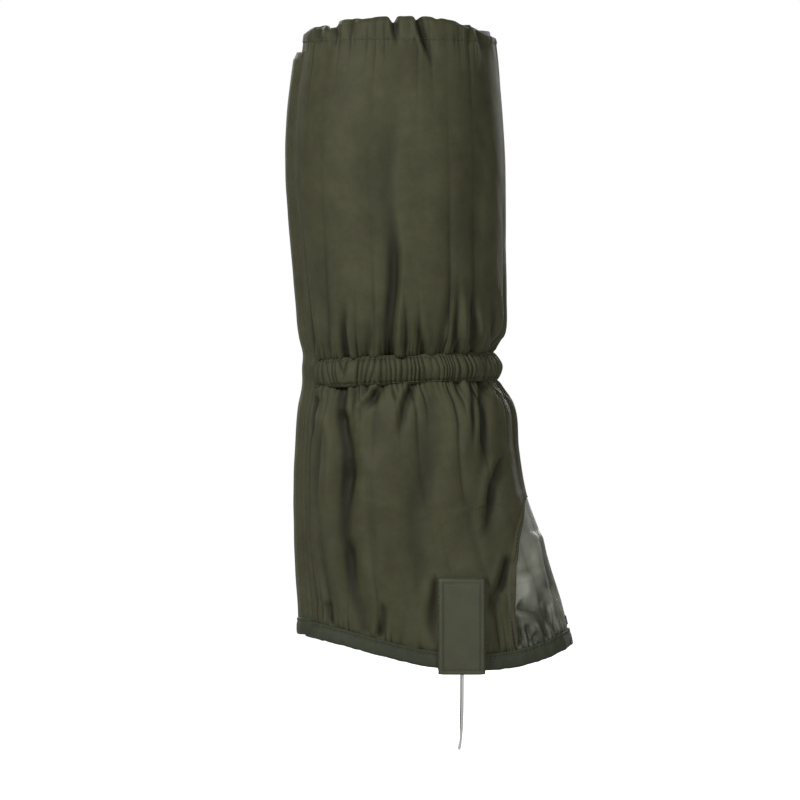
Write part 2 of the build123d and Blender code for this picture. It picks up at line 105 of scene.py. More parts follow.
# %% Floor
FLOOR_Z = -0.285
FLOOR_HALF = 20.0
FLOOR_DIM, FLOOR_BRIGHT = 0.04, 0.93
floor_paint = bpy.data.materials.new("pale_floor")
floor_paint.use_nodes = True
floor_surface = floor_paint.node_tree.nodes["Principled BSDF"]
floor_surface.inputs["Base Color"].default_value = (0.5, 0.5, 0.49, 1)
floor_surface.inputs["Roughness"].default_value = 0.8
floor_surface.inputs["Emission Color"].default_value = (1, 1, 1, 1)
bright_to_camera(floor_paint.node_tree, floor_surface.inputs["Emission Strength"], FLOOR_DIM, FLOOR_BRIGHT)
floor_mesh = bpy.data.meshes.new("floor")
CORNERS = ((-1, -1), (1, -1), (1, 1), (-1, 1))
floor_mesh.from_pydata([(x * FLOOR_HALF, y * FLOOR_HALF, FLOOR_Z) for x, y in CORNERS], [], [(0, 1, 2, 3)])
floor_mesh.materials.append(floor_paint)
floor = bpy.data.objects.new("floor", floor_mesh)
scene.collection.objects.link(floor)
print("floor:", FLOOR_Z, "m below the waist")


# %% Light
def soft_light(name, place, target, size, power):
    """A square studio panel that faces its target."""
    data = bpy.data.lights.new(name, "AREA")
    data.size = size
    data.energy = power
    light = bpy.data.objects.new(name, data)
    light.location = place
    aim = Vector(target) - Vector(place)
    light.rotation_euler = aim.to_track_quat("-Z", "Y").to_euler()
    scene.collection.objects.link(light)


WORLD_DIM, WORLD_BRIGHT = 0.2, 1.0
world = bpy.data.worlds.new("studio")
world.use_nodes = True
backdrop = world.node_tree.nodes["Background"]
backdrop.inputs["Color"].default_value = (1, 1, 1, 1)
bright_to_camera(world.node_tree, backdrop.inputs["Strength"], WORLD_DIM, WORLD_BRIGHT)
scene.world = world
soft_light("key_panel", (-1.35, -1.8, 1.45), (0, 0, 0), 0.5, 60)
soft_light("fill_panel", (1.25, -2.2, 0.7), (0, 0, 0), 0.8, 24)
soft_light("back_left_panel", (-1.3, 2.1, 1.3), (0, 0, 0), 1.1, 40)
soft_light("back_right_panel", (1.0, 2.5, 0.9), (0, 0, 0), 1.1, 26)

# %% [markdown]
# ## The sole cable
#
# A thin steel cable runs from one tab under the boot's arch to the other. It is a fixed length
# of something stiff, so it isn't drawn as a bent tube but as one smooth curve through the
# design's own corners: straight down out of each eye, then round under the sole. A NURBS curve
# keeps it free of kinks.

# %% The sole cable's route
CABLE_DIAMETER = 0.0018
CABLE_ROUTE = [
    (0.042, -0.0577, -0.197),
    (0.042, -0.0577, -0.222),
    (0.0418, -0.0515, -0.245),
    (0.0406, -0.036, -0.2605),
    (0.0398, 0.0, -0.2665),
    (0.0406, 0.036, -0.2605),
    (0.0418, 0.0515, -0.245),
    (0.042, 0.0577, -0.222),
    (0.042, 0.0577, -0.197),
]
cable_data = bpy.data.curves.new("steel_cable", "CURVE")
cable_data.dimensions = "3D"
cable_data.resolution_u = 12
spline = cable_data.splines.new("NURBS")
spline.points.add(len(CABLE_ROUTE) - 1)
for spot, corner in zip(spline.points, CABLE_ROUTE):
    spot.co = (*corner, 1)
spline.order_u = 3
spline.use_endpoint_u = True
cable_data.bevel_depth = CABLE_DIAMETER / 2
cable_data.bevel_resolution = 4
cable_data.use_fill_caps = True
cable = bpy.data.objects.new("steel_cable", cable_data)
scene.collection.objects.link(cable)

# %% [markdown]
# ## The leg's outline
#
# Every piece of cloth follows the same leg. At each height the leg is an ellipse, given by its
# rearmost and foremost X and half its width, and a smooth curve joins the heights. The cloth
# could be modelled point by point instead, but then no two pieces would meet. Here a point on
# the cloth is a turn round the leg (0 at the shin, positive towards the inner side), a height,
# and a distance out from the outline, and all the pieces share these three numbers.

# %% The leg's outline
OUTLINE = np.array([
    # height, back, front, half the width
    (-222, -69.2, 125.0, 52.0),
    (-190, -69.2, 118.2, 53.0),
    (-166, -69.2, 112.5, 54.0),
    (-137, -71.2, 103.5, 55.5),
    (-110, -72.0, 95.0, 57.5),
    (-88, -72.0, 87.0, 59.0),
    (-56, -71.2, 81.0, 59.5),
    (-25, -68.6, 76.5, 58.0),
    (-10.5, -66.0, 67.5, 54.0),
    (0, -66.0, 67.6, 55.0),
    (10.5, -65.6, 64.6, 54.0),
    (22, -68.2, 69.6, 59.5),
    (50, -71.0, 72.0, 64.0),
    (90, -74.4, 72.0, 66.0),
    (145, -78.2, 71.8, 66.5),
    (190, -75.9, 69.2, 65.0),
    (222, -71.4, 66.4, 62.5),
    (246, -68.6, 62.4, 58.5),
]) * MM
ZIP_X = -65.0 * MM  # the cloth's outer face where it's stitched to the zip
ZIP_EDGE = 4.8 * MM  # from the zip's middle to the cloth's edge
ZIP_FLAT = 7.5 * MM  # the cloth is level with the zip up to here
ZIP_VALLEY = 13.0 * MM  # and back on the leg's outline from here
tape_gap = (ZIP_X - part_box("outer_zip_tape")[0].x) / MM
print("cloth's outer face to the zip tape's outermost face:", round(tape_gap, 2), "mm")


# %% Helpers for smooth shapes
def smooth_between(at, xs, ys):
    """A smooth curve through the points (xs, ys), read at the values in at."""
    slopes = np.gradient(ys, xs)
    at = np.clip(at, xs[0], xs[-1])
    i = np.clip(np.searchsorted(xs, at) - 1, 0, len(xs) - 2)
    gap = xs[i + 1] - xs[i]
    t = (at - xs[i]) / gap
    start = (1 + 2 * t) * (1 - t) ** 2 * ys[i] + t * (1 - t) ** 2 * gap * slopes[i]
    return start + t * t * (3 - 2 * t) * ys[i + 1] + t * t * (t - 1) * gap * slopes[i + 1]


def ease(value, start, end):
    """0 before start, 1 after end and smooth between them."""
    t = np.clip((value - start) / (end - start), 0, 1)
    return t * t * (3 - 2 * t)


def bell(value, middle, width):
    """1 at the middle, falling off smoothly on both sides."""
    return np.exp(-(((value - middle) / width) ** 2))


def wander(value, seed, parts=5):
    """A smooth random wave of about one unit, the same for the same seed."""
    random = np.random.default_rng(seed)
    total = np.zeros_like(value)
    for k in range(1, parts + 1):
        total = total + random.uniform(0.5, 1) * np.sin(k * value + random.uniform(0, 6.3)) / k**0.5
    return total / parts**0.5


# %% Points on the leg
def leg_ellipse(z):
    """Middle X, half length and half width of the leg at each height."""
    back, front, half = (smooth_between(z, OUTLINE[:, 0], OUTLINE[:, k]) for k in (1, 2, 3))
    return (back + front) / 2, (front - back) / 2, half


def leg_x(turn, z):
    """The outline's X at a turn and a height."""
    middle, length, _half = leg_ellipse(z)
    return middle + length * np.cos(turn)


def leg_point(turn, z, out, valley=True):
    """The point at a turn and a height, moved out from the outline; cloth dips to the zip."""
    middle, length, half = leg_ellipse(z)
    nx, ny = np.cos(turn) / length, np.sin(turn) / half
    size = np.hypot(nx, ny)
    x = middle + length * np.cos(turn) + out * nx / size
    y = half * np.sin(turn) + out * ny / size
    if valley:
        dip = (1 - ease(np.abs(y), ZIP_FLAT, ZIP_VALLEY)) * (np.cos(turn) < 0)
        x = x + (ZIP_X - out - x) * dip
    return np.stack([x, y, z * np.ones_like(x)], axis=-1)


def zip_turn(z, edge=ZIP_EDGE):
    """The turn at which the cloth's edge meets the zip."""
    return math.pi - np.arcsin(edge / leg_ellipse(z)[2])


def round_leg(columns, height, edge=ZIP_EDGE):
    """A row of turns right round the leg, from one side of the zip to the other."""
    return np.linspace(-1, 1, columns)[None, :] * zip_turn(np.array([height]), edge)


WAIST_SLOPE = 0.044
SLOPE_REACH = 45.0 * MM  # above and below the waist


def waist_tilt(points):
    """The waist isn't quite level: it rises a little towards the shin."""
    points[..., 2] += WAIST_SLOPE * points[..., 0] * bell(points[..., 2], 0, SLOPE_REACH)
    return points


# %% The bottom edge
HEM_TAPE = 11.5 * MM


def hem_curve():
    """The bottom edge's height as a smooth function of X, read from the hem binding."""
    co = np.array([v.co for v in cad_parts["hem_binding"].data.vertices])
    bins = np.round(co[:, 0] / (3 * MM)).astype(int)
    lowest = np.array([co[bins == b][co[bins == b][:, 2].argmin()] for b in np.unique(bins)])
    return np.polynomial.Polynomial.fit(lowest[:, 0], lowest[:, 2], 6)


HEM_LOW = hem_curve()


def hem_height(turn):
    """The bottom edge's height at each turn."""
    z = np.full_like(turn, -195.0 * MM)  # a first guess, which the loop mends
    for _ in range(6):
        z = HEM_LOW(leg_x(turn, z))
    return z


print("bottom edge:", np.round(hem_height(np.array([0.0, -1.2, -3.1])) / MM, 1), "mm")

# %% [markdown]
# ## Gathers and folds
#
# Cloth that is gathered on an elastic stands in narrow pleats. Away from the elastic the pleats
# melt into fewer, wider folds, and further off the cloth is nearly smooth. Noise alone never
# looks gathered, because real folds start at the seam. So the folds are built in three sizes
# that share one pattern: three narrow pleats make one middle fold, and two of those a wide one.
# Folds listed one by one, where the cloth creases deeply, are added as strokes.

# %% Pleats
WAIST_HALF = 10.5 * MM  # half the waist band's height
WIDE_FOLDS = 15  # round the leg
MIDDLE_IN_WIDE = 2
NARROW_IN_WIDE = 6
NEVER_NEGATIVE = 20  # whole folds added, so that every count of folds is above zero
FLAT_TURN, GATHERED_TURN = 0.37, 0.46  # away from the zip, where gathers start and are full


def pleats(phase, seed, sharp=0.75):
    """Rounded ridges with narrow valleys between them, one for each whole phase."""
    heights = np.random.default_rng(seed).uniform(0.35, 1.0, 400)
    return heights[np.floor(phase).astype(int) % 400] * np.abs(np.sin(math.pi * phase)) ** sharp


def fold_phase(turn, z, seed):
    """How many wide folds lie between the zip and this turn, unevenly spaced and leaning."""
    lean = 0.22 * wander(3 * turn, seed + 1) * (z / (60 * MM))
    even = WIDE_FOLDS * (turn + math.pi) / (2 * math.pi)
    return even + 0.45 * wander(4 * turn, seed) + lean + NEVER_NEGATIVE


def gathers(turn, z, away, seed, reach=1.0):
    """The folds that an elastic makes, at a distance away from it."""
    phase = fold_phase(turn, z, seed)
    narrow = 2.4 * MM * np.exp(-away / (7 * MM * reach))
    middle = 3.6 * MM * np.exp(-away / (20 * MM * reach)) * (1 - 0.8 * np.exp(-away / (4 * MM)))
    wide = 4.2 * MM * np.exp(-away / (60 * MM * reach)) * (1 - np.exp(-away / (12 * MM)))
    folds = narrow * pleats(NARROW_IN_WIDE * phase, seed + 2)
    folds = folds + middle * pleats(MIDDLE_IN_WIDE * phase + 0.3, seed + 3)
    folds = folds + wide * pleats(phase + 0.15, seed + 4, 0.9)
    return folds - 0.45 * (narrow + middle + wide)


def gathered(turn):
    """1 where the cloth is gathered, and 0 at the back, where the zip keeps it flat."""
    return ease(math.pi - np.abs(turn), FLAT_TURN, GATHERED_TURN)


# %% Folds listed one by one
FOLDS = {
    # X and Z where it is held, X and Z where it fades, width and depth, in mm; below 0 it is a ridge
    "outer_calf": [
        (-6.5, -16, -6.6, 125, 4.6, 2.6),
        (-9.0, -10, -13.0, 60, 6.0, 1.6),
        (-1.5, -16, -1.0, 100, 3.4, -1.6),
        (27.0, -12, 33.0, 62, 3.0, 1.4),
        (41.0, -12, 37.0, 70, 3.2, 2.2),
        (50.0, -12, 51.0, 58, 2.8, 2.4),
        (64.0, -12, 65.0, 66, 2.8, 2.4),
        (-61.0, -12, -66.5, 60, 2.6, 2.0),
        (-38.0, -12, -40.0, 54, 3.0, 2.4),
        (-27.0, -12, -22.0, 46, 3.4, 1.8),
        (17.0, -12, 10.0, 52, 3.0, 1.8),
        (-31.0, 0, -31.0, 225, 15.0, -1.5),
        (-9.0, 10, -8.0, 225, 10.0, 1.4),
        (22.0, 20, 14.0, 215, 13.0, -1.1),
        (55.0, 20, 53.0, 215, 8.0, 1.2),
        (9.0, 256, 21.0, 208, 2.6, 3.0),
        (-6.5, 256, -3.0, 222, 2.4, 2.4),
        (-51.5, 256, -46.0, 220, 3.2, 2.6),
        (-56.0, 254, -58.0, 222, 3.0, 1.4),
        (-34.0, 254, -36.0, 224, 3.6, 1.5),
        (46.0, 256, 47.0, 222, 2.6, 1.6),
        (52.0, 256, 58.0, 208, 3.4, 2.2),
    ],
    "outer_ankle": [
        (-50.0, 12, -42.0, -52, 6.0, 4.4),
        (-43.5, -24, -39.5, -100, 6.6, 4.3),
        (-40.0, -60, -38.0, -172, 6.4, 3.6),
        (-39.0, -115, -24.0, -210, 6.0, 2.4),
        (-63.0, 6, -61.5, -24, 1.8, 1.6),
        (-61.5, -14, -66.5, -50, 3.2, 2.4),
        (-35.0, 12, -34.0, -44, 3.0, 2.0),
        (-8.0, 2, -34.0, -38, 3.2, 2.6),
        (9.0, -4, -5.0, -52, 3.4, 2.4),
        (-24.0, 6, -28.0, -24, 2.2, 1.8),
        (36.0, 8, 41.0, -24, 2.2, 2.0),
        (47.0, 14, 51.0, -62, 3.0, 2.4),
        (54.0, 14, 58.5, -72, 3.6, 3.2),
        (60.0, 10, 68.5, -28, 2.2, 2.2),
        (66.0, 8, 74.0, -32, 2.4, 2.2),
        (72.0, -56, 55.0, -124, 4.4, 2.6),
        (76.0, -128, 58.0, -176, 4.4, 2.4),
        (24.0, -10, 12.0, -110, 8.0, 1.4),
        (-16.0, -50, -10.0, -190, 10.0, -1.8),
        (10.0, -60, 14.0, -205, 9.0, 1.5),
        (36.0, -24, 34.0, -140, 11.0, -1.7),
        (-55.0, -40, -55.0, -180, 8.0, -1.4),
        (22.0, -140, 24.0, -205, 5.0, 1.8),
        (-52.0, -160, -50.0, -196, 3.0, 1.8),
        (-14.0, -160, -16.0, -205, 3.4, 1.6),
    ],
    "inner_calf": [
        (16.0, -12, 12.0, 115, 4.4, 2.6),
        (-33.0, -12, -28.0, 90, 3.6, 2.2),
        (43.0, -12, 46.0, 80, 3.4, 2.0),
        (26.0, 10, 30.0, 220, 14.0, -1.5),
        (-16.0, 20, -12.0, 215, 11.0, 1.3),
        (-44.0, 20, -46.0, 205, 13.0, -1.2),
        (-28.0, 256, -17.0, 208, 2.8, 2.6),
        (24.0, 256, 16.0, 214, 2.8, 2.2),
        (50.0, 254, 52.0, 214, 3.0, 1.8),
    ],
    "inner_ankle": [
        (34.0, 12, 22.0, -90, 4.4, 2.8),
        (-28.0, 12, -38.0, -80, 4.2, 2.8),
        (64.0, -30, 48.0, -120, 4.6, 2.4),
        (-10.0, -20, -4.0, -170, 10.0, -1.7),
        (12.0, -70, 4.0, -200, 8.0, 1.5),
        (-52.0, -40, -50.0, -185, 9.0, -1.3),
        (70.0, -120, 50.0, -178, 4.2, 2.2),
    ],
}
FOLD_DEPTH = 1.5  # one number deepens them all


def set_folds(strokes, x, z):
    """Listed folds, as a distance out: one side slopes and the other laps over it a little."""
    total = np.zeros_like(x)
    for x0, z0, x1, z1, width, depth in np.array(strokes) * MM:
        run = math.hypot(x1 - x0, z1 - z0)
        along = ((x - x0) * (x1 - x0) + (z - z0) * (z1 - z0)) / run**2
        aside = ((x - x0) * (z1 - z0) - (z - z0) * (x1 - x0)) / run
        aside = aside + 0.35 * width * np.sin(7 * along + 900 * x0)
        valley = np.exp(-((aside / (width * np.where(aside > 0, 0.8, 1.25))) ** 2))
        lap = 0.35 * bell(aside, 1.5 * width, 0.8 * width) * (depth > 0)
        strength = ease(along, 0, 0.15) * (1 - ease(along, 0.5, 1.0))
        total = total - FOLD_DEPTH * depth * (valley - lap) * strength
    return total


print("folds set by hand:", sum(len(strokes) for strokes in FOLDS.values()))

# %% [markdown]
# ## How far the cloth stands out
#
# One function adds all of it up: gathers above and below the waist, short puckers where the hem
# and the top are sewn, the listed folds, a slow wave over the whole leg, and a swelling
# where the tabs' rivets push the cloth out. Being one function, it lets the neighbouring pieces
# meet without a gap.

# %% All the relief in one function
TAB_X, TAB_HALF = 41.5 * MM, 16.0 * MM
TAB_TOP, TAB_BOTTOM = -145.0 * MM, -211.2 * MM
HEM_SEW_Z = 229.0 * MM  # the stitches of the top hem
TAPE_GRIP = (-1.2 * MM, 0.4 * MM)  # how far in and out the cloth may lie inside the hem binding
HOLLOW_SIZES = ((4, 0.8 * MM), (17, 2.4 * MM))  # columns to each side, and the depth that counts as full


def tab_swell(x, y, z):
    """The cloth is pushed out under the tabs, and eases back round them."""
    beside = 1 - ease(np.abs(x - TAB_X), TAB_HALF - 3 * MM, TAB_HALF + 16 * MM)
    above = 1 - ease(z, TAB_TOP - 6 * MM, TAB_TOP + 22 * MM)
    return 2.0 * MM * beside * above * (np.abs(y) > 20 * MM)


def cloth_out(turn, z, hem=None):
    """
    How far the cloth stands out from the leg's outline, with all its folds.
    For cloth that goes into the hem binding, hem is the height of the binding's top.
    """
    x = leg_x(turn, z)
    above = z > 0
    out = gathers(turn, z, np.clip(np.abs(z) - WAIST_HALF, 0, None), 7)
    top_away = np.abs(HEM_SEW_Z - z)
    out = out + np.where(above, 0.45 * gathers(turn, z, top_away, 47, reach=0.6), 0)
    if hem is not None:
        out = out + 0.9 * gathers(turn, z, np.clip(z - hem, 0, None), 87, reach=0.9)
    for name, strokes in FOLDS.items():
        side = (turn < 0) if name.startswith("outer") else (turn >= 0)
        level = above if name.endswith("calf") else ~above
        out = out + np.where(side & level, set_folds(strokes, x, z), 0)
    slow = wander(5 * turn + z / (40 * MM), 3) * wander(z / (35 * MM) + 2 * turn, 4)
    out = (out + 0.55 * MM * slow) * gathered(turn)
    out = out - 2.0 * MM * (1 - ease(np.abs(z), WAIST_HALF - 2.4 * MM, WAIST_HALF + 1.6 * MM))
    if hem is not None:
        out = out - 0.9 * MM * (1 - ease(z - hem, -0.8 * MM, 2.4 * MM))
        in_tape = np.clip(out, *TAPE_GRIP)
        out = in_tape + (out - in_tape) * ease(z - hem, 0.3 * MM, 4.0 * MM)
    beside_tab = ease(np.abs(x - TAB_X), TAB_HALF - 1 * MM, TAB_HALF + 3 * MM)
    above_tab = ease(z, TAB_TOP, TAB_TOP + 6 * MM)
    out = out * (1 - (1 - beside_tab) * (1 - above_tab))
    y = leg_ellipse(z)[2] * np.sin(turn)
    beside_flap = bell(y, -23 * MM, 6 * MM) * ease(-y, 19.5 * MM, 20.5 * MM) * (np.cos(turn) < 0)
    return out + tab_swell(x, y, z) + 0.5 * MM * beside_flap


# the depth found here becomes painted shade in the folds
def hollows(out):
    """How deep each point lies between its neighbours on a row, from 0 to 1, near and further off."""
    depth = np.zeros_like(out)
    for reach, full in HOLLOW_SIZES:
        kernel = np.ones(2 * reach + 1) / (2 * reach + 1)
        padded = np.pad(out, ((0, 0), (reach, reach)), mode="edge")
        level = np.stack([np.convolve(row, kernel, "valid") for row in padded])
        depth = np.maximum(depth, (level - out) / full)
    return np.clip(depth, 0, 1)


sample = cloth_out(np.linspace(-3, 3, 400)[None, :], np.full((1, 400), WAIST_HALF + 10 * MM))
print("relief 10 mm above the waist band:", np.round([sample.min() / MM, sample.max() / MM], 1), "mm")

# %% [markdown]
# ## Cloth shaders
#
# All the cloths share one weave, so it is a shader group. It reads the piece's own map, which
# runs in metres along and across the cloth, so a thread is the same size on every piece. An
# image of cloth would be quicker but repeats and blurs; a Wave Texture broken up by noise gives
# twill ribs at any distance. The group gives out masks and a normal, and each cloth's material
# mixes its own colours from them. A mask stored on the mesh darkens the depths of the folds with
# painted shade.

# %% Helpers for shaders
def value_socket(group, name, default):
    """A number that the group takes in."""
    group.interface.new_socket(name, in_out="INPUT", socket_type="NodeSocketFloat").default_value = default


def node_of(nodes, kind, **settings):
    """A node with its settings; a setting that names an input sets that input."""
    node = nodes.new(kind)
    for name, value in settings.items():
        if hasattr(node, name):
            setattr(node, name, value)
        else:
            node.inputs[name.replace("_", " ").title()].default_value = value
    return node


def new_material(name, **settings):
    """A material with the given settings, its nodes and links, and its surface shader."""
    material = bpy.data.materials.new(name)
    material.use_nodes = True
    nodes, links = material.node_tree.nodes, material.node_tree.links
    surface = nodes["Principled BSDF"]
    for socket, value in settings.items():
        surface.inputs[socket.replace("_", " ").title()].default_value = value
    return material, nodes, links, surface


def mix_colors(nodes, links, share, one, other):
    """Mixes two colours by a mask, and gives the mixed colour's socket."""
    colors = node_of(nodes, "ShaderNodeMix", data_type="RGBA")
    colors.inputs["A"].default_value = (*one, 1)
    colors.inputs["B"].default_value = (*other, 1)
    links.new(share, colors.inputs["Factor"])
    return colors.outputs["Result"]


# %% The weave group
def make_weave_group():
    """Twill ribs broken by uneven yarn, and a slow mottle over the whole cloth."""
    group = bpy.data.node_groups.new("twill_weave", "ShaderNodeTree")
    value_socket(group, "Ribs per metre", 1300.0)
    value_socket(group, "Unevenness", 0.4)
    value_socket(group, "Depth", 0.3)
    for name, kind in (("Ribs", "Float"), ("Mottle", "Float"), ("Normal", "Vector")):
        group.interface.new_socket(name, in_out="OUTPUT", socket_type=f"NodeSocket{kind}")
    nodes, links = group.nodes, group.links
    inside, outside = nodes.new("NodeGroupInput"), nodes.new("NodeGroupOutput")
    cloth_map = node_of(nodes, "ShaderNodeUVMap", uv_map="cloth")
    in_ribs = node_of(nodes, "ShaderNodeVectorMath", operation="SCALE")
    links.new(cloth_map.outputs["UV"], in_ribs.inputs["Vector"])
    links.new(inside.outputs["Ribs per metre"], in_ribs.inputs["Scale"])
    ribs = node_of(nodes, "ShaderNodeTexWave", bands_direction="DIAGONAL", scale=0.444, distortion=1.4)
    ribs.inputs["Detail"].default_value = 1.0
    links.new(in_ribs.outputs["Vector"], ribs.inputs["Vector"])
    yarn = node_of(nodes, "ShaderNodeTexNoise", scale=0.9, detail=2.0)
    links.new(in_ribs.outputs["Vector"], yarn.inputs["Vector"])
    threads = node_of(nodes, "ShaderNodeMix", data_type="FLOAT")
    links.new(inside.outputs["Unevenness"], threads.inputs["Factor"])
    links.new(ribs.outputs["Fac"], threads.inputs["A"])
    links.new(yarn.outputs["Fac"], threads.inputs["B"])
    mottle = node_of(nodes, "ShaderNodeTexNoise", scale=26.0, detail=6.0, roughness=0.74)
    links.new(cloth_map.outputs["UV"], mottle.inputs["Vector"])
    bump = node_of(nodes, "ShaderNodeBump", distance=0.0003)
    links.new(inside.outputs["Depth"], bump.inputs["Strength"])
    links.new(threads.outputs["Result"], bump.inputs["Height"])
    links.new(threads.outputs["Result"], outside.inputs["Ribs"])
    links.new(mottle.outputs["Fac"], outside.inputs["Mottle"])
    links.new(bump.outputs["Normal"], outside.inputs["Normal"])
    return group


WEAVE = make_weave_group()
print("weave group:", len(WEAVE.nodes), "nodes")


# %% Cloth materials
def cloth_material(name, dark, light, creased=None, ribs=1300.0, depth=0.5, **shine):
    """A cloth: ribs and mottle choose between its two colours, and painted shade darkens its creases."""
    # creased is the colour of the painted shade at the bottom of a fold
    creased = creased or [c * 0.22 for c in dark]
    material, nodes, links, surface = new_material(name, **shine)
    surface.inputs["Specular IOR Level"].default_value = 0.2
    weave = nodes.new("ShaderNodeGroup")
    weave.node_tree = WEAVE
    weave.inputs["Ribs per metre"].default_value = ribs
    weave.inputs["Depth"].default_value = depth
    soft = node_of(nodes, "ShaderNodeMapRange")
    soft.inputs["From Min"].default_value = 0.3
    soft.inputs["From Max"].default_value = 0.7
    soft.inputs["To Min"].default_value = -0.2
    soft.inputs["To Max"].default_value = 0.5
    links.new(weave.outputs["Mottle"], soft.inputs["Value"])
    share = node_of(nodes, "ShaderNodeMath", operation="MULTIPLY_ADD")
    share.inputs[1].default_value = 0.7
    links.new(weave.outputs["Ribs"], share.inputs[0])
    links.new(soft.outputs["Result"], share.inputs[2])
    dyed = mix_colors(nodes, links, share.outputs["Value"], dark, light)
    # painted shade: a mask stored on the mesh pulls the colour towards creased in the folds' depths
    painted_shade = node_of(nodes, "ShaderNodeAttribute", attribute_name="painted_shade")
    deep = node_of(nodes, "ShaderNodeMath", operation="MULTIPLY")
    deep.inputs[1].default_value = 0.8
    links.new(painted_shade.outputs["Fac"], deep.inputs[0])
    shaded = node_of(nodes, "ShaderNodeMix", data_type="RGBA")
    shaded.inputs["B"].default_value = (*creased, 1)
    links.new(deep.outputs["Value"], shaded.inputs["Factor"])
    links.new(dyed, shaded.inputs["A"])
    links.new(shaded.outputs["Result"], surface.inputs["Base Color"])
    links.new(weave.outputs["Normal"], surface.inputs["Normal"])
    return material


OLIVE = cloth_material("olive_twill", (0.0265, 0.0258, 0.0117), (0.0605, 0.0595, 0.03), roughness=0.6)
# the instep's colours are a painted glint, far lighter than its dull cloth; painted shade darkens them down
# to the creased colour
COATED = cloth_material(
    "coated_instep_painted_glint", (0.115, 0.121, 0.094), (0.2, 0.209, 0.168),
    creased=(0.009, 0.0092, 0.003), depth=0.3, roughness=0.5, coat_weight=0.14, coat_roughness=0.3,
)
BINDING = cloth_material(
    "binding_tape", (0.026, 0.03, 0.0175), (0.041, 0.046, 0.028),
    ribs=2000.0, roughness=0.55,
)
TAB_CLOTH = cloth_material(
    "tab_cloth", (0.035, 0.0372, 0.0195), (0.058, 0.062, 0.0365),
    depth=0.4, roughness=0.5, coat_weight=0.1, coat_roughness=0.4,
)
print("cloths:", ", ".join(m.name for m in (OLIVE, COATED, BINDING, TAB_CLOTH)))

# %% [markdown]
# ## Tapes, elastics and hook strips
#
# Narrow tapes and hook strips aren't twill: they show small knots or loops, close together. The
# zip tapes and hook strips keep the design's own shapes, which have no map, so this finish reads
# the object's own coordinates, and a Voronoi Texture gives each loop a small mound.

# %% Tape and hook strips
def tape_material(name, dark, light, scale, strength, roughness):
    """Woven tape or a hook strip: small mounds of thread, darker between them."""
    material, nodes, links, surface = new_material(name, roughness=roughness, sheen_weight=0.15)
    place = nodes.new("ShaderNodeTexCoord")
    loops = node_of(nodes, "ShaderNodeTexVoronoi", scale=scale)
    links.new(place.outputs["Object"], loops.inputs["Vector"])
    links.new(mix_colors(nodes, links, loops.outputs["Distance"], light, dark), surface.inputs["Base Color"])
    bump = node_of(nodes, "ShaderNodeBump", distance=0.0004, invert=True)
    bump.inputs["Strength"].default_value = strength
    links.new(loops.outputs["Distance"], bump.inputs["Height"])
    links.new(bump.outputs["Normal"], surface.inputs["Normal"])
    return material


ELASTIC = tape_material("elastic", (0.03, 0.03, 0.028), (0.07, 0.07, 0.065), 1100.0, 0.7, 0.7)
ZIP_TAPE = tape_material("zip_tape", (0.02, 0.02, 0.014), (0.045, 0.044, 0.03), 1800.0, 0.5, 0.8)
HOOK_STRIP = tape_material("hook_strip", (0.014, 0.014, 0.01), (0.04, 0.04, 0.028), 900.0, 1.0, 0.6)
print("tapes:", ", ".join(m.name for m in (ELASTIC, ZIP_TAPE, HOOK_STRIP)))

# %% [markdown]
# ## Sheets from a grid
#
# A cloth panel is a grid of points, rows up the leg and columns round it. Sculpting it by hand
# would give one good panel and no way to change it; a grid from a formula is remade in a
# second. The grid becomes a mesh with one face to each cell, a map in metres for the weave and
# a mask of painted shade for the creases, and a Solidify modifier gives the cloth its thickness
# towards the leg.

# %% Grids to meshes
CLOTH_THICK = 0.7 * MM


def arc_map(points):
    """Metres across and up the cloth at each point of a grid."""
    across = np.linalg.norm(np.diff(points, axis=1), axis=2).mean(axis=0)
    up = np.linalg.norm(np.diff(points, axis=0), axis=2).mean(axis=1)
    across, up = (np.concatenate([[0], np.cumsum(step)]) for step in (across, up))
    return np.stack(np.meshgrid(across, up), axis=-1)


def grid_object(name, points, material, out=None, tube=False, extra_shade=0.0):
    """
    A piece from a grid of points. Painted shade goes in the hollows of its relief, out, and the last
    argument adds more.
    A tube joins its last row to its first and has its ends closed.
    """
    rows, columns = points.shape[:2]
    index = np.arange(rows * columns).reshape(rows, columns)
    cloth_map = arc_map(points)
    if tube:
        index = np.vstack([index, index[:1]])
        cloth_map = np.vstack([cloth_map, cloth_map[-1:] + (cloth_map[1:2] - cloth_map[:1])])
    around = [(slice(None, -1), slice(None, -1)), (slice(None, -1), slice(1, None)),
              (slice(1, None), slice(1, None)), (slice(1, None), slice(None, -1))]
    faces = np.stack([index[cell] for cell in around], axis=-1).reshape(-1, 4).tolist()
    spots = np.stack([cloth_map[cell] for cell in around], axis=2).reshape(-1, 2)
    if tube:
        ends = [index[:-1, 0].tolist(), index[:-1, -1].tolist()[::-1]]
        faces = faces + ends
        spots = np.vstack([spots, np.zeros((2 * rows, 2))])
    mesh = bpy.data.meshes.new(name)
    mesh.from_pydata(points.reshape(-1, 3), [], faces)
    mesh.uv_layers.new(name="cloth").data.foreach_set("uv", spots.reshape(-1).astype(np.float32))
    # painted shade, stored on the mesh: the relief's hollows, plus any more painted shade given
    if out is not None:
        painted_shade = mesh.attributes.new("painted_shade", "FLOAT", "POINT")
        shade = np.clip(hollows(out) + extra_shade, 0, 1)
        painted_shade.data.foreach_set("value", shade.reshape(-1).astype(np.float32))
    mesh.polygons.foreach_set("use_smooth", np.ones(len(mesh.polygons), bool))
    if tube:
        shell = bmesh.new()
        shell.from_mesh(mesh)
        bmesh.ops.recalc_face_normals(shell, faces=shell.faces)
        shell.to_mesh(mesh)
        shell.free()
    mesh.materials.append(material)
    piece = bpy.data.objects.new(name, mesh)
    scene.collection.objects.link(piece)
    return piece


